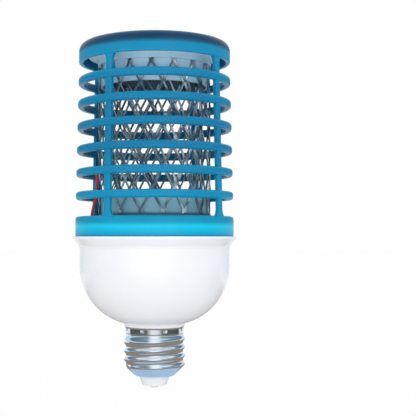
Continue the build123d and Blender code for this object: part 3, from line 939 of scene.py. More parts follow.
@dataclass(frozen=True)
class Levels:
    """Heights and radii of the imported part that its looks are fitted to, in mm.

    Attributes:
        shell_bottom: The screw shell's mouth.
        shell_top: The screw shell's upper edge.
        cup_top: The flange's upper face.
        collar_radius: The collar's radius.
        flange_radius: The flange's radius.
        cap_top: The cap's upper face.
        grid_bottom: The grids' foot.
        grid_top: The grids' head.
        skirt_reach: How far the cage's skirt reaches down into the cup.
    """

    shell_bottom: float
    shell_top: float
    cup_top: float
    collar_radius: float
    flange_radius: float
    cap_top: float
    grid_bottom: float
    grid_top: float
    skirt_reach: float = 4.0

    @classmethod
    def read(cls) -> "Levels":
        """Reads the sizes from the CAD nodes.

        Returns:
            The sizes.
        """
        shell_low, shell_high = span("screw_shell")
        cage_low, cage_high = span("cage")
        grid_low, grid_high = span("outer_grid")
        return cls(
            shell_bottom=shell_low.z,
            shell_top=shell_high.z,
            cup_top=cage_low.z + cls.skirt_reach,
            collar_radius=cage_high.x,
            flange_radius=span("housing_cup")[1].x,
            cap_top=cage_high.z,
            grid_bottom=grid_low.z,
            grid_top=grid_high.z,
        )


# Screw cap


@dataclass
class ScrewCap:
    """The screw cap: rolled nickel shell, white insulator and centre contact.

    Attributes:
        levels: The part's main sizes.
        pitch: The thread's pitch in mm.
        turns: How many turns the thread has.
        depth: The thread's depth in mm.
        root: The thread's root radius in mm.
        mouth: The shell's mouth radius in mm.
        dimples: How many dimples are punched round the collar.
        lip: The width of the flat rim round the mouth in mm.
        wall: The sheet's thickness in mm.
        shoulder_rise: The shoulder's height in mm.
        shoulder_round: The rounding from the shoulder to the thread in mm.
        first_crest: The crest's height above the mouth at azimuth 0, in mm.
        run_in: The turns over which the thread rises.
        run_out: The turns over which it dies away.
        collar_step: How far the plain collar stands out from the root in mm.
        step_rise: The height of the step up to it in mm.
        collar_length: The plain collar's height in mm.
        edge_flare: How far the upper edge flares in mm.
        flank_start: How many turns before the end the last flank starts to stretch.
        flank_blend: The turns over which it does so.
        flank_least: The stretched flank's least height in mm.
        dimple_azimuth: The first dimple's azimuth in degrees.
        dimple_reach: A dimple's radius in mm.
        dimple_depth: Its depth in mm.
        dimple_drop: How far it lies below the upper edge in mm.
        row: The height in mm that a row of faces aims at.
        bore: The radius of the insulator's bore in mm.
        nose: The radius of the insulator's lower face in mm.
        seat_gap: The gap between insulator and shell in mm.
        shank: The radius of the contact's shank in mm.
        contact_rise: The height of the contact's head in mm.
    """

    levels: Levels
    pitch: float = 3.629
    turns: float = 3.0
    depth: float = 0.9
    root: float = 12.2
    mouth: float = 6.7
    lip: float = 1.7
    wall: float = 0.4
    shoulder_rise: float = 3.85
    shoulder_round: float = 2.4
    first_crest: float = 5.1
    run_in: float = 0.7
    run_out: float = 0.3
    collar_step: float = 0.4
    step_rise: float = 0.15
    collar_length: float = 2.9
    edge_flare: float = 0.1
    flank_start: float = 0.8
    flank_blend: float = 0.3
    flank_least: float = 0.5
    dimples: int = 8
    dimple_azimuth: float = -69.0
    dimple_reach: float = 1.1
    dimple_depth: float = 0.5
    dimple_drop: float = 1.0
    row: float = 0.28
    bore: float = 1.5
    nose: float = 5.3
    seat_gap: float = 0.1
    shank: float = 1.4
    contact_rise: float = 1.1

    def build(self) -> list[Piece]:
        """Makes the shell, the insulator and the contact."""
        return [self.shell(), self.insulator(), self.contact()]

    def thread_top(self) -> float:
        """The height in mm at which the thread gives way to the plain collar."""
        return self.levels.shell_top - self.collar_length - self.step_rise

    def swell(self, place: Vector) -> float:
        """How far the rolled sheet stands out at a place.

        Args:
            place: The place in mm.

        Returns:
            The move along the radius in mm.
        """
        turn = (math.atan2(place.y, place.x) / math.tau) % 1.0
        phase = (place.z - self.levels.shell_bottom - self.first_crest) / self.pitch - turn
        last = math.floor(self.turns + self.run_out - turn)
        near = min(round(phase), last) if self.thread_top() > place.z else round(phase)
        along = near + turn
        above = (phase - near) * self.pitch
        reach = self.pitch / 2
        if above > 0:
            crest = place.z - above
            spare = max(self.flank_least, self.thread_top() - crest)
            share = smooth_step((along - self.turns + self.flank_start) / self.flank_blend)
            reach += share * (spare - reach)
        wave = 0.5 + 0.5 * math.cos(math.pi * min(1, abs(above) / reach))
        start = smooth_step((along + self.run_in) / self.run_in)
        end = smooth_step((self.turns + self.run_out - along) / self.run_out)
        move = self.depth * wave * start * end
        for i in range(self.dimples):
            azimuth = self.dimple_azimuth + i * 360 / self.dimples
            radius = self.root + self.collar_step
            centre = around(radius, azimuth, self.levels.shell_top - self.dimple_drop)
            away = (place - centre).length / self.dimple_reach
            if away < 1:
                move -= self.dimple_depth * (0.5 + 0.5 * math.cos(math.pi * away))
        return move

    def shell(self) -> Piece:
        """The shell: a turned sheet, its thread rolled in and its dimples punched.

        Returns:
            The piece.
        """
        low, high = self.levels.shell_bottom, self.levels.shell_top
        thread_top = self.thread_top()
        guide = rounded(
            [
                (self.mouth, low, 0),
                (self.mouth + self.lip, low, 0.9),
                (self.root, low + self.shoulder_rise, self.shoulder_round),
                (self.root, thread_top, 0.06),
                (self.root + self.collar_step, thread_top + self.step_rise, 0.06),
                (self.root + self.collar_step, high - self.wall, 0),
                (self.root + self.collar_step + self.edge_flare, high, 0),
            ],
            4,
        )
        outline = [guide[0]]
        for before, after in zip(guide, guide[1:]):
            length = math.dist(before, after)
            pieces = max(1, round(length / self.row))
            for k in range(1, pieces + 1):
                share = k / pieces
                outline.append(tuple(a + (b - a) * share for a, b in zip(before, after)))
        piece = Piece.lathed("screw_shell", outline, closed=False, steps=288)

        def rolled(place: Vector) -> Vector:
            """Gives a vertex its place on the rolled sheet.

            Args:
                place: Its place on the plain sheet in mm.

            Returns:
                Its new place in mm.
            """
            radius = math.hypot(place.x, place.y)
            share = smooth_step((radius - self.mouth - self.lip) / 2)
            scale = 1 + share * self.swell(place) / radius
            return Vector((place.x * scale, place.y * scale, place.z))

        piece.shift_vertices(rolled)
        piece.modify("SOLIDIFY", thickness=self.wall * MM, offset=-1.0, use_even_offset=True)
        piece.merge()
        return piece.finish("screw_shell", Palette.nickel, 50)

    def insulator(self) -> Piece:
        """The moulded insulator that closes the shell's mouth.

        Returns:
            The piece.
        """
        low, high = span("base_insulator")
        lip = self.levels.shell_bottom + self.wall
        seat = self.mouth - self.seat_gap
        outline = rounded(
            [
                (self.bore, low.z, 0),
                (self.nose, low.z, 0.35),
                (seat, self.levels.shell_bottom, 0.25),
                (seat, lip, 0),
                (high.x, lip, 0.1),
                (high.x, high.z, 0.2),
                (self.bore, high.z, 0),
            ]
        )
        piece = Piece.lathed("base_insulator", outline, steps=128)
        return piece.finish("base_insulator", Palette.insulator)

    def contact(self) -> Piece:
        """The centre contact: a rivet with a soft, flat end.

        Returns:
            The piece.
        """
        low, high = span("centre_contact")
        rise = self.contact_rise
        dome = arc((high.x - rise, rise), rise, -90, 0, 8)
        outline = [(0, low.z), *dome, (self.shank, rise), (self.shank, high.z), (0, high.z)]
        piece = Piece.lathed("centre_contact", outline, closed=False, steps=96)
        return piece.finish("centre_contact", Palette.contact)


# Opal cup


@dataclass
class OpalCup:
    """The opal cup: neck spigot, round bowl, straight wall and flared rim.

    Attributes:
        levels: The part's main sizes.
        wall: The cup's wall in mm.
        bowl: The bowl's radius of curvature in mm.
        inset: How far the wall lies inside the collar's radius in mm.
        flange: The height of the rim's upright face in mm.
        flare_height: The height over which the rim flares in mm.
        flare_round: The rounding from the wall to the flare in mm.
        wall_height: The straight wall's height in mm.
        neck_overhang: How far the neck stands out over the shell in mm.
        neck_rise: A height on the neck's upright face, which directs its round, in mm.
        neck_wall: The neck's wall in mm.
        spigot_inset: How far the spigot lies inside the shell's radius in mm.
        shell_radius: The shell's radius at its plain collar in mm.
    """

    levels: Levels
    wall: float = 1.6
    inset: float = 1.8
    bowl: float = 25.2
    flange: float = 1.0
    flare_height: float = 3.2
    flare_round: float = 3.0
    wall_height: float = 8.5
    neck_overhang: float = 0.35
    neck_rise: float = 1.35
    neck_wall: float = 1.5
    spigot_inset: float = 0.5
    shell_radius: float = 12.6

    def build(self) -> list[Piece]:
        """Makes the cup.

        Returns:
            The cup alone.
        """
        level = self.levels
        spigot_bottom = span("housing_cup")[0].z
        cup = level.collar_radius - self.inset
        flare_top = level.cup_top - self.flange
        flare_bottom = flare_top - self.flare_height
        spigot = self.shell_radius - self.spigot_inset
        neck = self.shell_radius + self.neck_overhang
        bore = spigot - self.neck_wall
        centre = (cup - self.bowl, flare_bottom - self.wall_height)
        inner = self.bowl - self.wall
        start = -math.degrees(math.acos((neck - centre[0]) / self.bowl))
        inner_start = -math.degrees(math.acos((bore - centre[0]) / inner))
        rim = rounded(
            [
                (cup, centre[1], 0),
                (cup, flare_bottom, self.flare_round),
                (level.flange_radius, flare_top, 0.3),
                (level.flange_radius, level.cup_top, 0.2),
                (cup - self.wall, level.cup_top, 0),
                (cup - self.wall, centre[1], 0),
            ],
            6,
        )
        shoulder = rounded(
            [
                (spigot, level.shell_top, 0),
                (neck, level.shell_top, 0.3),
                (neck, level.shell_top + self.neck_rise, 0),
            ],
            3,
        )
        outline = [
            (spigot, spigot_bottom),
            *shoulder[:-1],
            *arc(centre, self.bowl, start, 0, 40),
            *rim[1:-1],
            *arc(centre, inner, 0, inner_start, 30),
            (bore, spigot_bottom),
        ]
        piece = Piece.lathed("housing_cup", outline)
        return [piece.finish("housing_cup", Palette.opal)]


# Cage


@dataclass
class RingedCage:
    """The blue cage: collar, six rings, four ribs and a closed cap in one moulding.

    Attributes:
        levels: The part's main sizes.
        wall: The moulding's wall in mm.
        rings: How many rings there are.
        ribs: How many ribs carry them.
        collar_height: The collar's height in mm.
        collar_round: The rounding of its upper edge in mm.
        skirt_wall: The skirt's wall in mm.
        skirt_radius: The skirt's radius in mm.
        shelf_bore: The radius of the shelf's bore in mm.
        ring_pitch: The height from ring to ring in mm.
        ring_height: A ring's height in mm.
        ring_width: Its width along the radius in mm.
        ring_round: The rounding of its outer edges in mm.
        ring_inner_round: The rounding of its inner edges in mm.
        first_gap: The gap below the first ring in mm.
        taper: How far the radius draws in from collar to cap in mm.
        rib_azimuth: The first rib's azimuth in degrees.
        rib_width: A rib's width in mm.
        rib_depth: Its depth along the radius in mm.
        rib_inset: How far it lies inside the rings' faces in mm.
        rib_flare: How far it widens to each side at its ends in mm.
        rib_round: The rounding of its long outer edges in mm.
        flare_height: The height over which it widens in mm.
        cap_height: The cap's height in mm.
        cap_round: The rounding of its upper edge in mm.
    """

    levels: Levels
    wall: float = 1.8
    collar_height: float = 8.5
    collar_round: float = 1.5
    skirt_wall: float = 1.2
    skirt_radius: float = 30.35
    shelf_bore: float = 28.35
    rings: int = 6
    ring_pitch: float = 9.74
    ring_height: float = 3.4
    ring_width: float = 2.7
    ring_round: float = 1.1
    ring_inner_round: float = 0.7
    first_gap: float = 7.0
    taper: float = 1.6
    ribs: int = 4
    rib_azimuth: float = -35.5
    rib_width: float = 3.0
    rib_depth: float = 1.7
    rib_inset: float = 0.45
    rib_flare: float = 1.1
    rib_round: float = 0.4
    flare_height: float = 2.4
    cap_height: float = 8.6
    cap_round: float = 3.7

    def radius(self, height: float) -> float:
        """The cage's radius, which draws in evenly from the collar to the cap.

        Args:
            height: The height in mm.

        Returns:
            The outer radius in mm.
        """
        low = self.levels.cup_top + self.collar_height
        high = self.levels.cap_top - self.cap_height
        return self.levels.collar_radius - self.taper * (height - low) / (high - low)

    def collar(self) -> Piece:
        """The collar with its shelf and the skirt that plugs into the cup.

        Returns:
            The piece.
        """
        cup_top = self.levels.cup_top
        top = cup_top + self.collar_height
        outer = self.levels.collar_radius
        bottom = cup_top - self.levels.skirt_reach
        skirt_bore = self.skirt_radius - self.skirt_wall
        outline = rounded(
            [
                (skirt_bore, bottom, 0),
                (self.skirt_radius, bottom, 0.3),
                (self.skirt_radius, top - self.wall, 0),
                (outer - self.wall, top - self.wall, 0.6),
                (outer - self.wall, cup_top, 0),
                (outer, cup_top, 0.3),
                (outer, top, self.collar_round),
                (self.shelf_bore, top, 0.3),
                (self.shelf_bore, top - self.wall, 0),
                (skirt_bore, top - self.wall, 0),
            ],
            6,
        )
        return Piece.lathed("collar", outline)

    def ring(self, height: float) -> Piece:
        """One ring with softly rounded edges.

        Args:
            height: Its middle's height in mm.

        Returns:
            The piece.
        """
        outer = self.radius(height)
        inner = outer - self.ring_width
        low, high = height - self.ring_height / 2, height + self.ring_height / 2
        outline = rounded(
            [
                (inner, low, self.ring_inner_round),
                (outer, low, self.ring_round),
                (outer, high, self.ring_round),
                (inner, high, self.ring_inner_round),
            ],
            4,
        )
        return Piece.lathed("ring", outline)

    def cap(self) -> Piece:
        """The closed cap with its rounded edge.

        Returns:
            The piece.
        """
        top = self.levels.cap_top
        bottom = top - self.cap_height
        outer = self.levels.collar_radius - self.taper
        outline = rounded(
            [
                (0, top - self.wall, 0),
                (outer - self.wall, top - self.wall, self.cap_round - self.wall),
                (outer - self.wall, bottom, 0.2),
                (outer, bottom, 0.45),
                (outer, top, self.cap_round),
                (0, top, 0),
            ],
            8,
        )
        return Piece.lathed("cap", outline, closed=False)

    def rib(self, azimuth: float) -> Piece:
        """One rib, flared where it meets the collar and the cap.

        Args:
            azimuth: Its place round the axis in degrees.

        Returns:
            The piece.
        """
        low = self.levels.cup_top + self.collar_height
        high = self.levels.cap_top - self.cap_height
        clearance = 0.05
        bottom, top = low - self.wall + clearance, high + self.wall
        outer = self.radius(bottom) - self.rib_inset
        half = self.rib_width / 2
        rib = Piece.block("rib", (outer - self.rib_depth, -half, bottom), (outer, half, top))
        steps, near = 6, 0.01
        cuts = [k / steps * self.flare_height for k in range(steps + 1)]
        with rib.editing():
            for cut in cuts:
                for height in (low + cut, high - cut):
                    bpy.ops.mesh.select_all(action="SELECT")
                    bpy.ops.mesh.bisect(plane_co=(0, 0, height * MM), plane_no=(0, 0, 1))
            for k, cut in enumerate(cuts):
                flare = self.rib_flare * (1 - math.sin(k / steps * math.pi / 2))
                scale = (half + flare) / half
                rib.pick(lambda v, c=cut: abs(v.z - low - c) < near or abs(high - c - v.z) < near)
                bpy.ops.transform.resize(value=(1, scale, 1), center_override=(0, 0, 0))
            rib.pick(lambda v: v.z < low - near or v.z > high + near)
            scale = (half + self.rib_flare) / half
            bpy.ops.transform.resize(value=(1, scale, 1), center_override=(0, 0, 0))
        slope = self.taper / (high - low)
        rib.shift_vertices(lambda v: Vector((v.x - slope * (v.z - bottom), v.y, v.z)))
        with rib.editing():
            front = outer - 2 * near
            rib.pick(lambda v: v.x > front - slope * (v.z - bottom), "EDGE")
            bpy.ops.mesh.select_mode(type="EDGE")
            mesh = bmesh.from_edit_mesh(rib.obj.data)
            for edge in mesh.edges:
                ends = [v.co / MM for v in edge.verts]
                upright = abs(ends[0].z - ends[1].z) > near
                edge.select_set(edge.select and upright)
            bmesh.update_edit_mesh(rib.obj.data)
            bpy.ops.mesh.bevel(offset=self.rib_round * MM, segments=3)
        return rib.turn(azimuth)

    def build(self) -> list[Piece]:
        """Makes the cage as one closed mesh.

        Returns:
            The cage alone.
        """
        first = self.levels.cup_top + self.collar_height + self.first_gap + self.ring_height / 2
        rings = [self.ring(first + i * self.ring_pitch) for i in range(self.rings)]
        cage = self.collar().join([*rings, self.cap()])
        ribs = [self.rib(self.rib_azimuth + i * 360 / self.ribs) for i in range(self.ribs)]
        cage.combine(ribs[0].join(ribs[1:]), "UNION")
        cage.obj.name = "cage"
        cage.merge()
        return [cage.finish("cage", Palette.blue)]


# Grids


class Grid(Enum):
    """The two expanded-metal cylinders, by CAD node."""

    OUTER = "outer_grid"
    INNER = "inner_grid"


@dataclass
class ExpandedGrid:
    """A rolled cylinder of expanded metal with tilted strands.

    Attributes:
        levels: The part's main sizes.
        grid: Which cylinder it is.
        radius: The mean radius in mm.
        cells: How many openings go round.
        first_row: The first row's height above the grid's foot in mm.
        turn: The cylinder's turn about the axis in degrees.
        strand: A strand's width in mm.
        tilt: How far the strands are twisted out of the sheet in degrees.
        bond: Half a bond's height in mm.
        cell_height: A cell's height in mm.
        sheet: The strands' thickness in mm.
        edge: The bevel of their edges in mm.
        bonds: How many bonds a zigzag strand has before it is trimmed.
        bonds_below: How many of them start below the first row.
    """

    levels: Levels
    grid: Grid
    radius: float
    cells: int
    first_row: float
    turn: float = 0.0
    strand: float = 1.0
    tilt: float = 24.0
    bond: float = 0.8
    cell_height: float = 17.5
    sheet: float = 0.4
    edge: float = 0.07
    bonds: int = 14
    bonds_below: int = 3

    def build(self) -> list[Piece]:
        """Makes the cylinder: one zigzag strand, arrayed, rolled up and thickened.

        Returns:
            The cylinder alone.
        """
        level = self.levels
        pitch = math.pi * self.radius / self.cells
        lean = math.radians(self.tilt)
        reach = Vector((math.cos(lean), -math.sin(lean), 0)) * self.strand
        row = self.cell_height / 2
        start = level.grid_bottom + self.first_row - self.bonds_below * row
        far = Vector((pitch, 0, 0)) - reach
        half_bond = Vector((0, 0, self.bond))
        path = []
        for k in range(self.bonds):
            side = far if k % 2 else Vector((0, 0, 0))
            middle = side + Vector((0, 0, start + k * row))
            path += [middle - half_bond, middle + half_bond]
        strip = Piece.drawn(self.grid.value, path, closed=False)
        with strip.editing():
            bpy.ops.mesh.extrude_region_move(TRANSFORM_OT_translate={"value": reach * MM})
        for count, step in ((2, (pitch, 0, row)), (self.cells, (2 * pitch, 0, 0))):
            strip.modify(
                "ARRAY",
                count=count,
                use_relative_offset=False,
                use_constant_offset=True,
                constant_offset_displace=Vector(step) * MM,
            )
        with strip.editing():
            for height, side in ((level.grid_bottom, 1), (level.grid_top, -1)):
                bpy.ops.mesh.select_all(action="SELECT")
                bpy.ops.mesh.bisect(
                    plane_co=(0, 0, height * MM),
                    plane_no=(0, 0, side),
                    clear_inner=True,
                )
            bpy.ops.mesh.select_all(action="SELECT")
            bpy.ops.mesh.subdivide(number_cuts=1)
        strip.modify("SIMPLE_DEFORM", deform_method="BEND", deform_axis="Z", angle=math.tau)
        strip.move((0, -self.radius, 0)).turn(self.turn)
        strip.merge()
        strip.modify("SOLIDIFY", thickness=self.sheet * MM, offset=0.0, use_even_offset=True)
        strip.modify("BEVEL", width=self.edge * MM, segments=1, limit_method="ANGLE")
        strip.merge()
        return [strip.finish(self.grid.value, Palette.grid, 40)]


# Holders


class Holder(Enum):
    """The two grid holders, by CAD node."""

    FOOT = "lower_grid_holder"
    HEAD = "upper_grid_holder"


@dataclass
class GridHolder:
    """A moulded holder: a brim, a crown, and two collars that carry the grids.

    Attributes:
        levels: The part's main sizes.
        holder: Which holder it is.
        wall: The moulding's wall in mm.
        crown: The crown's radius in mm.
        outer_collar: The radius of the collar in the outer grid in mm.
        inner_collar: The radius of the collar in the inner grid in mm.
        collar_wall: The wall of both in mm.
        outer_reach: How far the outer one stands up from the face in mm.
        inner_reach: How far the inner one does so in mm.
        brim: The brim's thickness in mm.
        edge: The rounding of its edges in mm.
        screws: How many screws hold it.
        screw_hole: The radius of their holes in mm.
        screw_circle: The radius of the circle they lie on in mm.
        screw_azimuth: The first one's azimuth in degrees.
        lead_holes: The circle's radius and the azimuth of each lead's hole in the foot.
        lead_bore: The radius of those holes in mm.
    """

    levels: Levels
    holder: Holder
    wall: float = 1.6
    crown: float = 24.3
    outer_collar: float = 23.0
    inner_collar: float = 19.65
    collar_wall: float = 1.2
    outer_reach: float = 9.0
    inner_reach: float = 5.5
    brim: float = 1.8
    edge: float = 0.3
    screws: int = 3
    screw_hole: float = 1.4
    screw_circle: float = 26.3
    screw_azimuth: float = 30.0
    lead_holes: tuple[Point, ...] = ((27.5, 172.5), (16.25, 100.0))
    lead_bore: float = 0.75

    def build(self) -> list[Piece]:
        """Makes the holder with its holes.

        Returns:
            The holder alone.
        """
        low, high = span(self.holder.value)
        foot = self.holder is Holder.FOOT
        face = self.levels.grid_bottom if foot else self.levels.grid_top
        up = 1 if foot else -1
        brim_far = low.z if foot else high.z
        brim_near = brim_far + up * self.brim
        back = face - up * self.wall
        edge = self.edge
        outline = rounded(
            [
                (0, back, 0),
                (self.crown - self.wall, back, 0),
                (self.crown - self.wall, brim_far, 0),
                (high.x, brim_far, edge),
                (high.x, brim_near, edge),
                (self.crown, brim_near, edge),
                (self.crown, face, edge),
                (self.outer_collar, face, 0),
                (self.outer_collar, face + up * self.outer_reach, edge),
                (self.outer_collar - self.collar_wall, face + up * self.outer_reach, edge),
                (self.outer_collar - self.collar_wall, face, 0),
                (self.inner_collar, face, 0),
                (self.inner_collar, face + up * self.inner_reach, edge),
                (self.inner_collar - self.collar_wall, face + up * self.inner_reach, edge),
                (self.inner_collar - self.collar_wall, face, 0),
                (0, face, 0),
            ],
            3,
        )
        piece = Piece.lathed(self.holder.value, outline, closed=False)
        tools = [
            Piece.cylinder(
                "tool",
                self.screw_hole,
                min(brim_far, back, face) - 1,
                max(brim_far, back, face) + 1,
                tuple(around(self.screw_circle, self.screw_azimuth + i * 360 / self.screws).xy),
            )
            for i in range(self.screws)
        ]
        if foot:
            for circle, azimuth in self.lead_holes:
                spot = tuple(around(circle, azimuth).xy)
                tools.append(Piece.cylinder("tool", self.lead_bore, low.z - 1, face + 1, spot))
        piece.combine(tools[0].join(tools[1:]), "DIFFERENCE")
        return [piece.finish(self.holder.value, Palette.holder)]


# Wires, screws and lamps


@dataclass
class Leads:
    """The red and black leads that feed the grids.

    Attributes:
        levels: The part's main sizes.
        radius: The insulated wire's radius in mm.
        red_azimuth: The red lead's azimuth in degrees.
        red_foot_circle: How far from the axis it leaves the board in mm.
        red_circle: How far from the axis it passes the holder in mm.
        red_grid_circle: How far from the axis it lies along the outer grid in mm.
        red_heights: Its first two bends above its foot in mm.
        red_rises: Its last two bends and its end above the grids' foot in mm.
        red_bend: The reach of its bends in mm.
        black_azimuth: The black lead's azimuth at the holder in degrees.
        black_circle: How far from the axis it passes the holder in mm.
        black_grid_circle: How far from the axis it lies along the inner grid in mm.
        black_foot: Where it leaves the board, as x and y in mm.
        black_rises: Its bends and its end above the grids' foot in mm.
        black_bend: The reach of its bends in mm.
    """

    levels: Levels
    radius: float = 0.65
    red_azimuth: float = 172.5
    red_foot_circle: float = 20.3
    red_circle: float = 27.5
    red_grid_circle: float = 25.1
    red_heights: Point = (5.6, 12.6)
    red_rises: Corner = (0.6, 9.0, 19.0)
    red_bend: float = 3.0
    black_azimuth: float = 100.0
    black_circle: float = 16.25
    black_grid_circle: float = 17.5
    black_foot: Point = (-2.82, 16.4)
    black_rises: tuple[float, ...] = (-9.6, -3.6, 5.5, 8.1, 12.0)
    black_bend: float = 1.6

    def build(self) -> list[Piece]:
        """Makes both leads.

        Returns:
            The red and the black lead.
        """
        foot = self.levels.grid_bottom
        red_low = span("outer_grid_lead")[0].z
        black_low = span("inner_grid_lead")[0].z
        red_knees = (
            (self.red_foot_circle, red_low),
            (self.red_foot_circle, red_low + self.red_heights[0]),
            (self.red_circle, red_low + self.red_heights[1]),
            (self.red_circle, foot + self.red_rises[0]),
            (self.red_grid_circle, foot + self.red_rises[1]),
            (self.red_grid_circle, foot + self.red_rises[2]),
        )
        red_path = [around(circle, self.red_azimuth, height) for circle, height in red_knees]
        black_circles = [self.black_circle] * 2 + [self.black_grid_circle] * 2
        black_path = [
            Vector((*self.black_foot, black_low)),
            Vector((*self.black_foot, foot + self.black_rises[0])),
        ]
        for circle, rise in zip(black_circles, self.black_rises[1:]):
            black_path.append(around(circle, self.black_azimuth, foot + rise))
        red = Piece.tube("outer_grid_lead", red_path, self.radius, self.red_bend)
        black = Piece.tube("inner_grid_lead", black_path, self.radius, self.black_bend)
        return [
            red.finish("outer_grid_lead", Palette.red_wire, 60),
            black.finish("inner_grid_lead", Palette.black_wire, 60),
        ]


@dataclass
class Fastenings:
    """The pan-head screws that hold the grid holders.

    Attributes:
        levels: The part's main sizes.
        shank: The shank's radius in mm.
        length: The shank's length in mm.
        head: The head's radius in mm.
        head_height: The head's height in mm.
        head_round: The rounding of the head's edge in mm.
        slot_reach: How far the cross recess reaches from the axis in mm.
        slot_half: Half its width in mm.
        slot_floor: Its floor's height above the head's seat in mm.
        upper_circle: The radius of the circle of the upper screws in mm.
    """

    levels: Levels
    shank: float = 1.2
    length: float = 8.0
    head: float = 1.8
    head_height: float = 1.4
    head_round: float = 0.8
    slot_reach: float = 1.0
    slot_half: float = 0.22
    slot_floor: float = 0.6
    upper_circle: float = 12.0

    def screw(self) -> Piece:
        """One screw with a cross recess, its head's seat at the origin.

        Returns:
            The piece.
        """
        top = self.head_height
        dome = rounded([(self.head, 0, 0), (self.head, top, self.head_round), (0, top, 0)])
        outline = [
            (0, -self.length),
            (self.shank / 3, -self.length),
            (self.shank, -self.length + self.shank),
            (self.shank, 0),
            *dome,
        ]
        screw = Piece.lathed("screw", outline, closed=False, steps=40)
        long, short = self.slot_reach, self.slot_half
        for x, y in ((long, short), (short, long)):
            slot = Piece.block("slot", (-x, -y, self.slot_floor), (x, y, top + 1))
            screw.combine(slot, "DIFFERENCE")
        return screw

    def build(self) -> list[Piece]:
        """Makes all six screws as one piece.

        Returns:
            The set of screws.
        """
        brim_top = span("lower_grid_holder")[0].z + GridHolder.brim
        first = self.screw()
        placed = []
        for i in range(GridHolder.screws):
            turn = i * 360 / GridHolder.screws
            spot = around(GridHolder.screw_circle, GridHolder.screw_azimuth + turn, brim_top)
            placed.append(first.copy("screw").move(spot))
            spot = around(self.upper_circle, turn, self.levels.grid_top)
            placed.append(first.copy("screw").turn(180, "X").move(spot))
        bpy.data.objects.remove(first.obj)
        return [placed[0].join(placed[1:]).finish("holder_screws", Palette.screw)]


@dataclass
class CarriedOver:
    """CAD nodes that show as they are and only take a finish.

    Attributes:
        finishes: Each node with its finish.
    """

    finishes: dict[str, Finish] = field(
        default_factory=lambda: {
            "driver_board": Palette.laminate,
            "board_screws": Palette.screw,
            "dropper_capacitor": Palette.film,
            "smoothing_capacitor": Palette.can,
            "bridge_rectifier": Palette.epoxy,
            "multiplier_capacitors": Palette.disc,
            "multiplier_diodes": Palette.epoxy,
            "fusible_resistor": Palette.resistor,
            "bleed_resistors": Palette.epoxy,
            "led_board": Palette.white_board,
            "uv_leds": Palette.lamp,
            "led_leads": Palette.white_wire,
            "live_wire": Palette.brown_wire,
            "neutral_wire": Palette.blue_wire,
        }
    )

    def build(self, nodes: dict[str, bpy.types.Object]) -> None:
        """Gives each node its finish.

        Args:
            nodes: The CAD nodes by name.
        """
        for name, finish in self.finishes.items():
            nodes[name].data.materials.clear()
            nodes[name].data.materials.append(finish.material())
            LOG.info("%s: CAD node", name)


# Stage


@dataclass(frozen=True)
class Lamp:
    """One soft area light.

    Attributes:
        name: Its name.
        place: Where it is, in metres.
        size: Its width and height in metres.
        power: Its power in watts.
    """

    name: str
    place: tuple[float, float, float]
    size: tuple[float, float]
    power: float


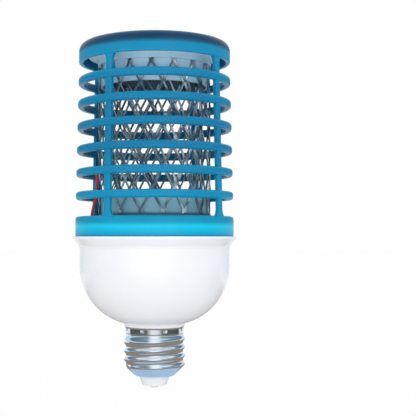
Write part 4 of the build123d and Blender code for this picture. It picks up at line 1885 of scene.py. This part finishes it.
@dataclass
class Stage:
    """Floor, cards, lights, surroundings and camera.

    Attributes:
        target: What the lights face, in metres.
        whiteness: How much of the floor's look is plain white instead of lit paper.
        floor_size: The floor's side in metres.
        floor_drop: How far it lies below the lamp in metres.
        room: The tall card's bands, each as a share of room_height with its linear colour.
        room_height: The height over which the bands run in metres.
        gap: The linear colour of the light stretch at the tall card's front.
        gap_core: The azimuth to each side up to which it is even, in degrees.
        gap_edge: The azimuth at which it has faded out, in degrees.
        tall_radius: The tall card's radius in mm.
        tall_levels: Its foot, the split between its two parts, and its top in mm.
        tall_reach: The azimuths at which its lower and its upper part end, in degrees.
        near: The linear colour of the flat card under the screw cap.
        table: The linear colour of the flat card round it.
        sky: The linear colour of the light from all round.
        sky_strength: The strength of that light.
        eye: The camera's place in metres.
        lens: Its focal length in mm.
        shift: Its shift across and up.
        picture: The picture's side in pixels.
        lamps: The lights.
    """

    target: tuple[float, float, float] = (0.0, 0.0, 0.08)
    whiteness: float = 0.96
    floor_size: float = 8.0
    floor_drop: float = 0.0002
    room: tuple[tuple[float, Colour], ...] = (
        (0.0, (0.02, 0.045, 0.05)),
        (0.09, (0.02, 0.045, 0.05)),
        (0.14, (0.10, 0.08, 0.06)),
        (0.20, (0.60, 0.72, 0.85)),
        (0.38, (0.75, 0.85, 0.95)),
        (0.42, (0.12, 0.17, 0.20)),
        (1.0, (0.28, 0.38, 0.44)),
    )
    room_height: float = 0.2
    gap: Colour = (1.12, 1.10, 1.08)
    gap_core: float = 8.0
    gap_edge: float = 34.0
    tall_radius: float = 200.0
    tall_levels: Corner = (0.5, 34.0, 190.0)
    tall_reach: Point = (106.0, 150.0)
    near: Colour = (0.46, 0.60, 0.76)
    table: Colour = (0.34, 0.27, 0.21)
    sky: Colour = (0.95, 0.97, 1.0)
    sky_strength: float = 0.80
    eye: Corner = (0.0, -0.409, 0.0649)
    lens: float = 82.3
    shift: Point = (0.1286, 0.0673)
    picture: int = 416
    lamps: tuple[Lamp, ...] = (
        Lamp("key", (0.55, -0.75, 0.45), (0.80, 0.60), 1.5),
        Lamp("fill", (-0.70, -0.60, 0.25), (0.60, 0.60), 1.0),
        Lamp("top", (0.0, -0.1, 0.8), (0.6, 0.6), 0.5),
        Lamp("bounce", (0.0, -0.35, 0.005), (0.5, 0.1), 0.5),
    )

    def build(self) -> None:
        """Makes the whole stage."""
        self.floor()
        self.cards()
        self.surroundings()
        for lamp in self.lamps:
            self.light(lamp)
        self.camera()

    def floor(self) -> None:
        """A pale floor that looks white and keeps a faint shadow."""
        Piece.clear()
        bpy.ops.mesh.primitive_plane_add(size=self.floor_size, location=(0, 0, -self.floor_drop))
        floor = bpy.context.active_object
        floor.name = "floor"
        material, graph = new_material("floor")
        paper = graph.node("BsdfDiffuse")
        graph.feed(paper, Color=(0.9, 0.9, 0.9, 1))
        glow = graph.node("Emission")
        graph.feed(glow, Color=(1, 1, 1, 1), Strength=1.0)
        path = graph.node("LightPath")
        shown = graph.math("MAXIMUM", path.outputs["Is Camera Ray"], path.outputs["Is Glossy Ray"])
        share = graph.math("MULTIPLY", shown, self.whiteness)
        mixer = graph.node("MixShader")
        graph.feed(mixer, i0=share, i1=paper.outputs[0], i2=glow.outputs[0])
        graph.feed(graph.node("OutputMaterial"), i0=mixer.outputs[0])
        floor.data.materials.append(material)

    def cards(self) -> None:
        """Dark cards that only reflections show, so that the metal reads as metal."""
        back, front = self.tall_radius + 1, self.tall_radius
        foot, split, top = self.tall_levels
        wall = [(front, foot), (back, foot), (back, split), (back, top), (front, top), (front, split)]
        walls = Piece.lathed("room_card", wall, steps=120)
        with walls.editing():
            walls.pick(self.open_side, "FACE")
            bpy.ops.mesh.delete(type="FACE")
        table = self.flat_card("table_card", 18, 199)
        near = self.flat_card("near_card", 7, 17.9)
        for piece, colour in ((walls, None), (table, self.table), (near, self.near)):
            card = piece.obj
            card.data.materials.append(self.paper(card.name, colour))
            card.visible_camera = False
            card.visible_diffuse = False
            card.visible_shadow = False
            card.visible_transmission = False

    @staticmethod
    def flat_card(name: str, inner: float, outer: float) -> Piece:
        """A flat ring just above the floor, between two radii in mm."""
        low, high = 0.2, 0.4
        return Piece.lathed(name, [(inner, low), (outer, low), (outer, high), (inner, high)], steps=90)

    def paper(self, name: str, plain: Colour | None) -> bpy.types.Material:
        """A matt material that needs no light.

        Args:
            name: Its name.
            plain: Its linear colour, or nothing for the tall card's bands.

        Returns:
            The material.
        """
        material, graph = new_material(name)
        glow = graph.node("Emission")
        if plain:
            colour = (*plain, 1)
        else:
            share = graph.group(Shared.height(), Low=0.0, High=self.room_height)
            colour = graph.mix(self.beside_gap(graph), self.gap, graph.ramp(share, self.room))
        graph.feed(glow, Color=colour, Strength=1.0)
        graph.feed(graph.node("OutputMaterial"), i0=glow.outputs[0])
        return material

    def beside_gap(self, graph: Graph) -> bpy.types.NodeSocket:
        """How far a place on the tall card is from the light stretch at its front.

        Args:
            graph: The material's graph.

        Returns:
            A socket that runs from 0 in the light stretch to 1 beside it.
        """
        place = graph.node("SeparateXYZ")
        graph.feed(place, i0=graph.node("TexCoord").outputs["Object"])
        forwards = graph.math("MULTIPLY", place.outputs[1], -1.0)
        azimuth = graph.math("ABSOLUTE", graph.math("ARCTAN2", place.outputs[0], forwards))
        share = graph.node("MapRange", interpolation_type="SMOOTHSTEP")
        core, edge = math.radians(self.gap_core), math.radians(self.gap_edge)
        graph.feed(share, Value=azimuth, From_Min=core, From_Max=edge)
        return share.outputs[0]

    def open_side(self, place: Vector) -> bool:
        """Says whether the tall card is left open at a place.

        Args:
            place: The place in mm.

        Returns:
            True along the back.
        """
        azimuth = math.degrees(math.atan2(place.x, -place.y))
        lower, upper = self.tall_reach
        reach = lower if place.z < self.tall_levels[1] + 1 else upper
        return abs(azimuth) > reach

    def surroundings(self) -> None:
        """White surroundings for the camera and reflections, softer for the rest."""
        world = bpy.data.worlds.new("studio")
        bpy.context.scene.world = world
        world.use_nodes = True
        graph = Graph(world.node_tree)
        path = graph.node("LightPath")
        seen = graph.math("MAXIMUM", path.outputs["Is Camera Ray"], path.outputs["Is Glossy Ray"])
        seen = graph.math("MAXIMUM", seen, path.outputs["Is Transmission Ray"])
        white = graph.node("Background")
        graph.feed(white, Color=(1, 1, 1, 1), Strength=1.0)
        soft = graph.node("Background")
        graph.feed(soft, Color=(*self.sky, 1), Strength=self.sky_strength)
        mixer = graph.node("MixShader")
        graph.feed(mixer, i0=seen, i1=soft.outputs[0], i2=white.outputs[0])
        graph.feed(graph.node("OutputWorld"), i0=mixer.outputs[0])

    def light(self, lamp: Lamp) -> None:
        """One area light that faces the target.

        Args:
            lamp: The light.
        """
        Piece.clear()
        bpy.ops.object.light_add(type="AREA", location=lamp.place)
        light = bpy.context.active_object
        light.name = lamp.name
        light.data.shape = "RECTANGLE"
        light.data.size, light.data.size_y = lamp.size
        light.data.energy = lamp.power
        aim = Vector(self.target) - Vector(lamp.place)
        light.rotation_euler = aim.to_track_quat("-Z", "Y").to_euler()

    def camera(self) -> None:
        """The camera at the photograph's angle."""
        Piece.clear()
        bpy.ops.object.camera_add(location=self.eye, rotation=(math.pi / 2, 0, 0))
        camera = bpy.context.active_object
        camera.name = "camera"
        camera.data.lens = self.lens
        camera.data.sensor_width = 36
        camera.data.shift_x, camera.data.shift_y = self.shift
        bpy.context.scene.camera = camera
        bpy.context.scene.render.resolution_x = self.picture
        bpy.context.scene.render.resolution_y = self.picture
        bpy.context.scene.view_settings.view_transform = "Standard"


def main() -> None:
    """Builds the lamp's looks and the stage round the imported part."""
    logging.basicConfig(level=logging.INFO, format="%(name)s %(message)s")
    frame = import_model()
    levels = Levels.read()
    makers = [
        ScrewCap(levels),
        OpalCup(levels),
        RingedCage(levels),
        ExpandedGrid(levels, Grid.OUTER, radius=23.7, cells=16, first_row=1.2, turn=-3.0),
        ExpandedGrid(levels, Grid.INNER, radius=20.35, cells=14, first_row=5.2),
        GridHolder(levels, Holder.FOOT),
        GridHolder(levels, Holder.HEAD, screw_circle=Fastenings.upper_circle, screw_azimuth=0.0),
        Leads(levels),
        Fastenings(levels),
    ]
    for maker in makers:
        for piece in maker.build():
            LOG.info("%s: %d faces", piece.obj.name, len(piece.obj.data.polygons))
    CarriedOver().build(frame["nodes"])
    Stage().build()


if __name__ == "__main__":
    main()
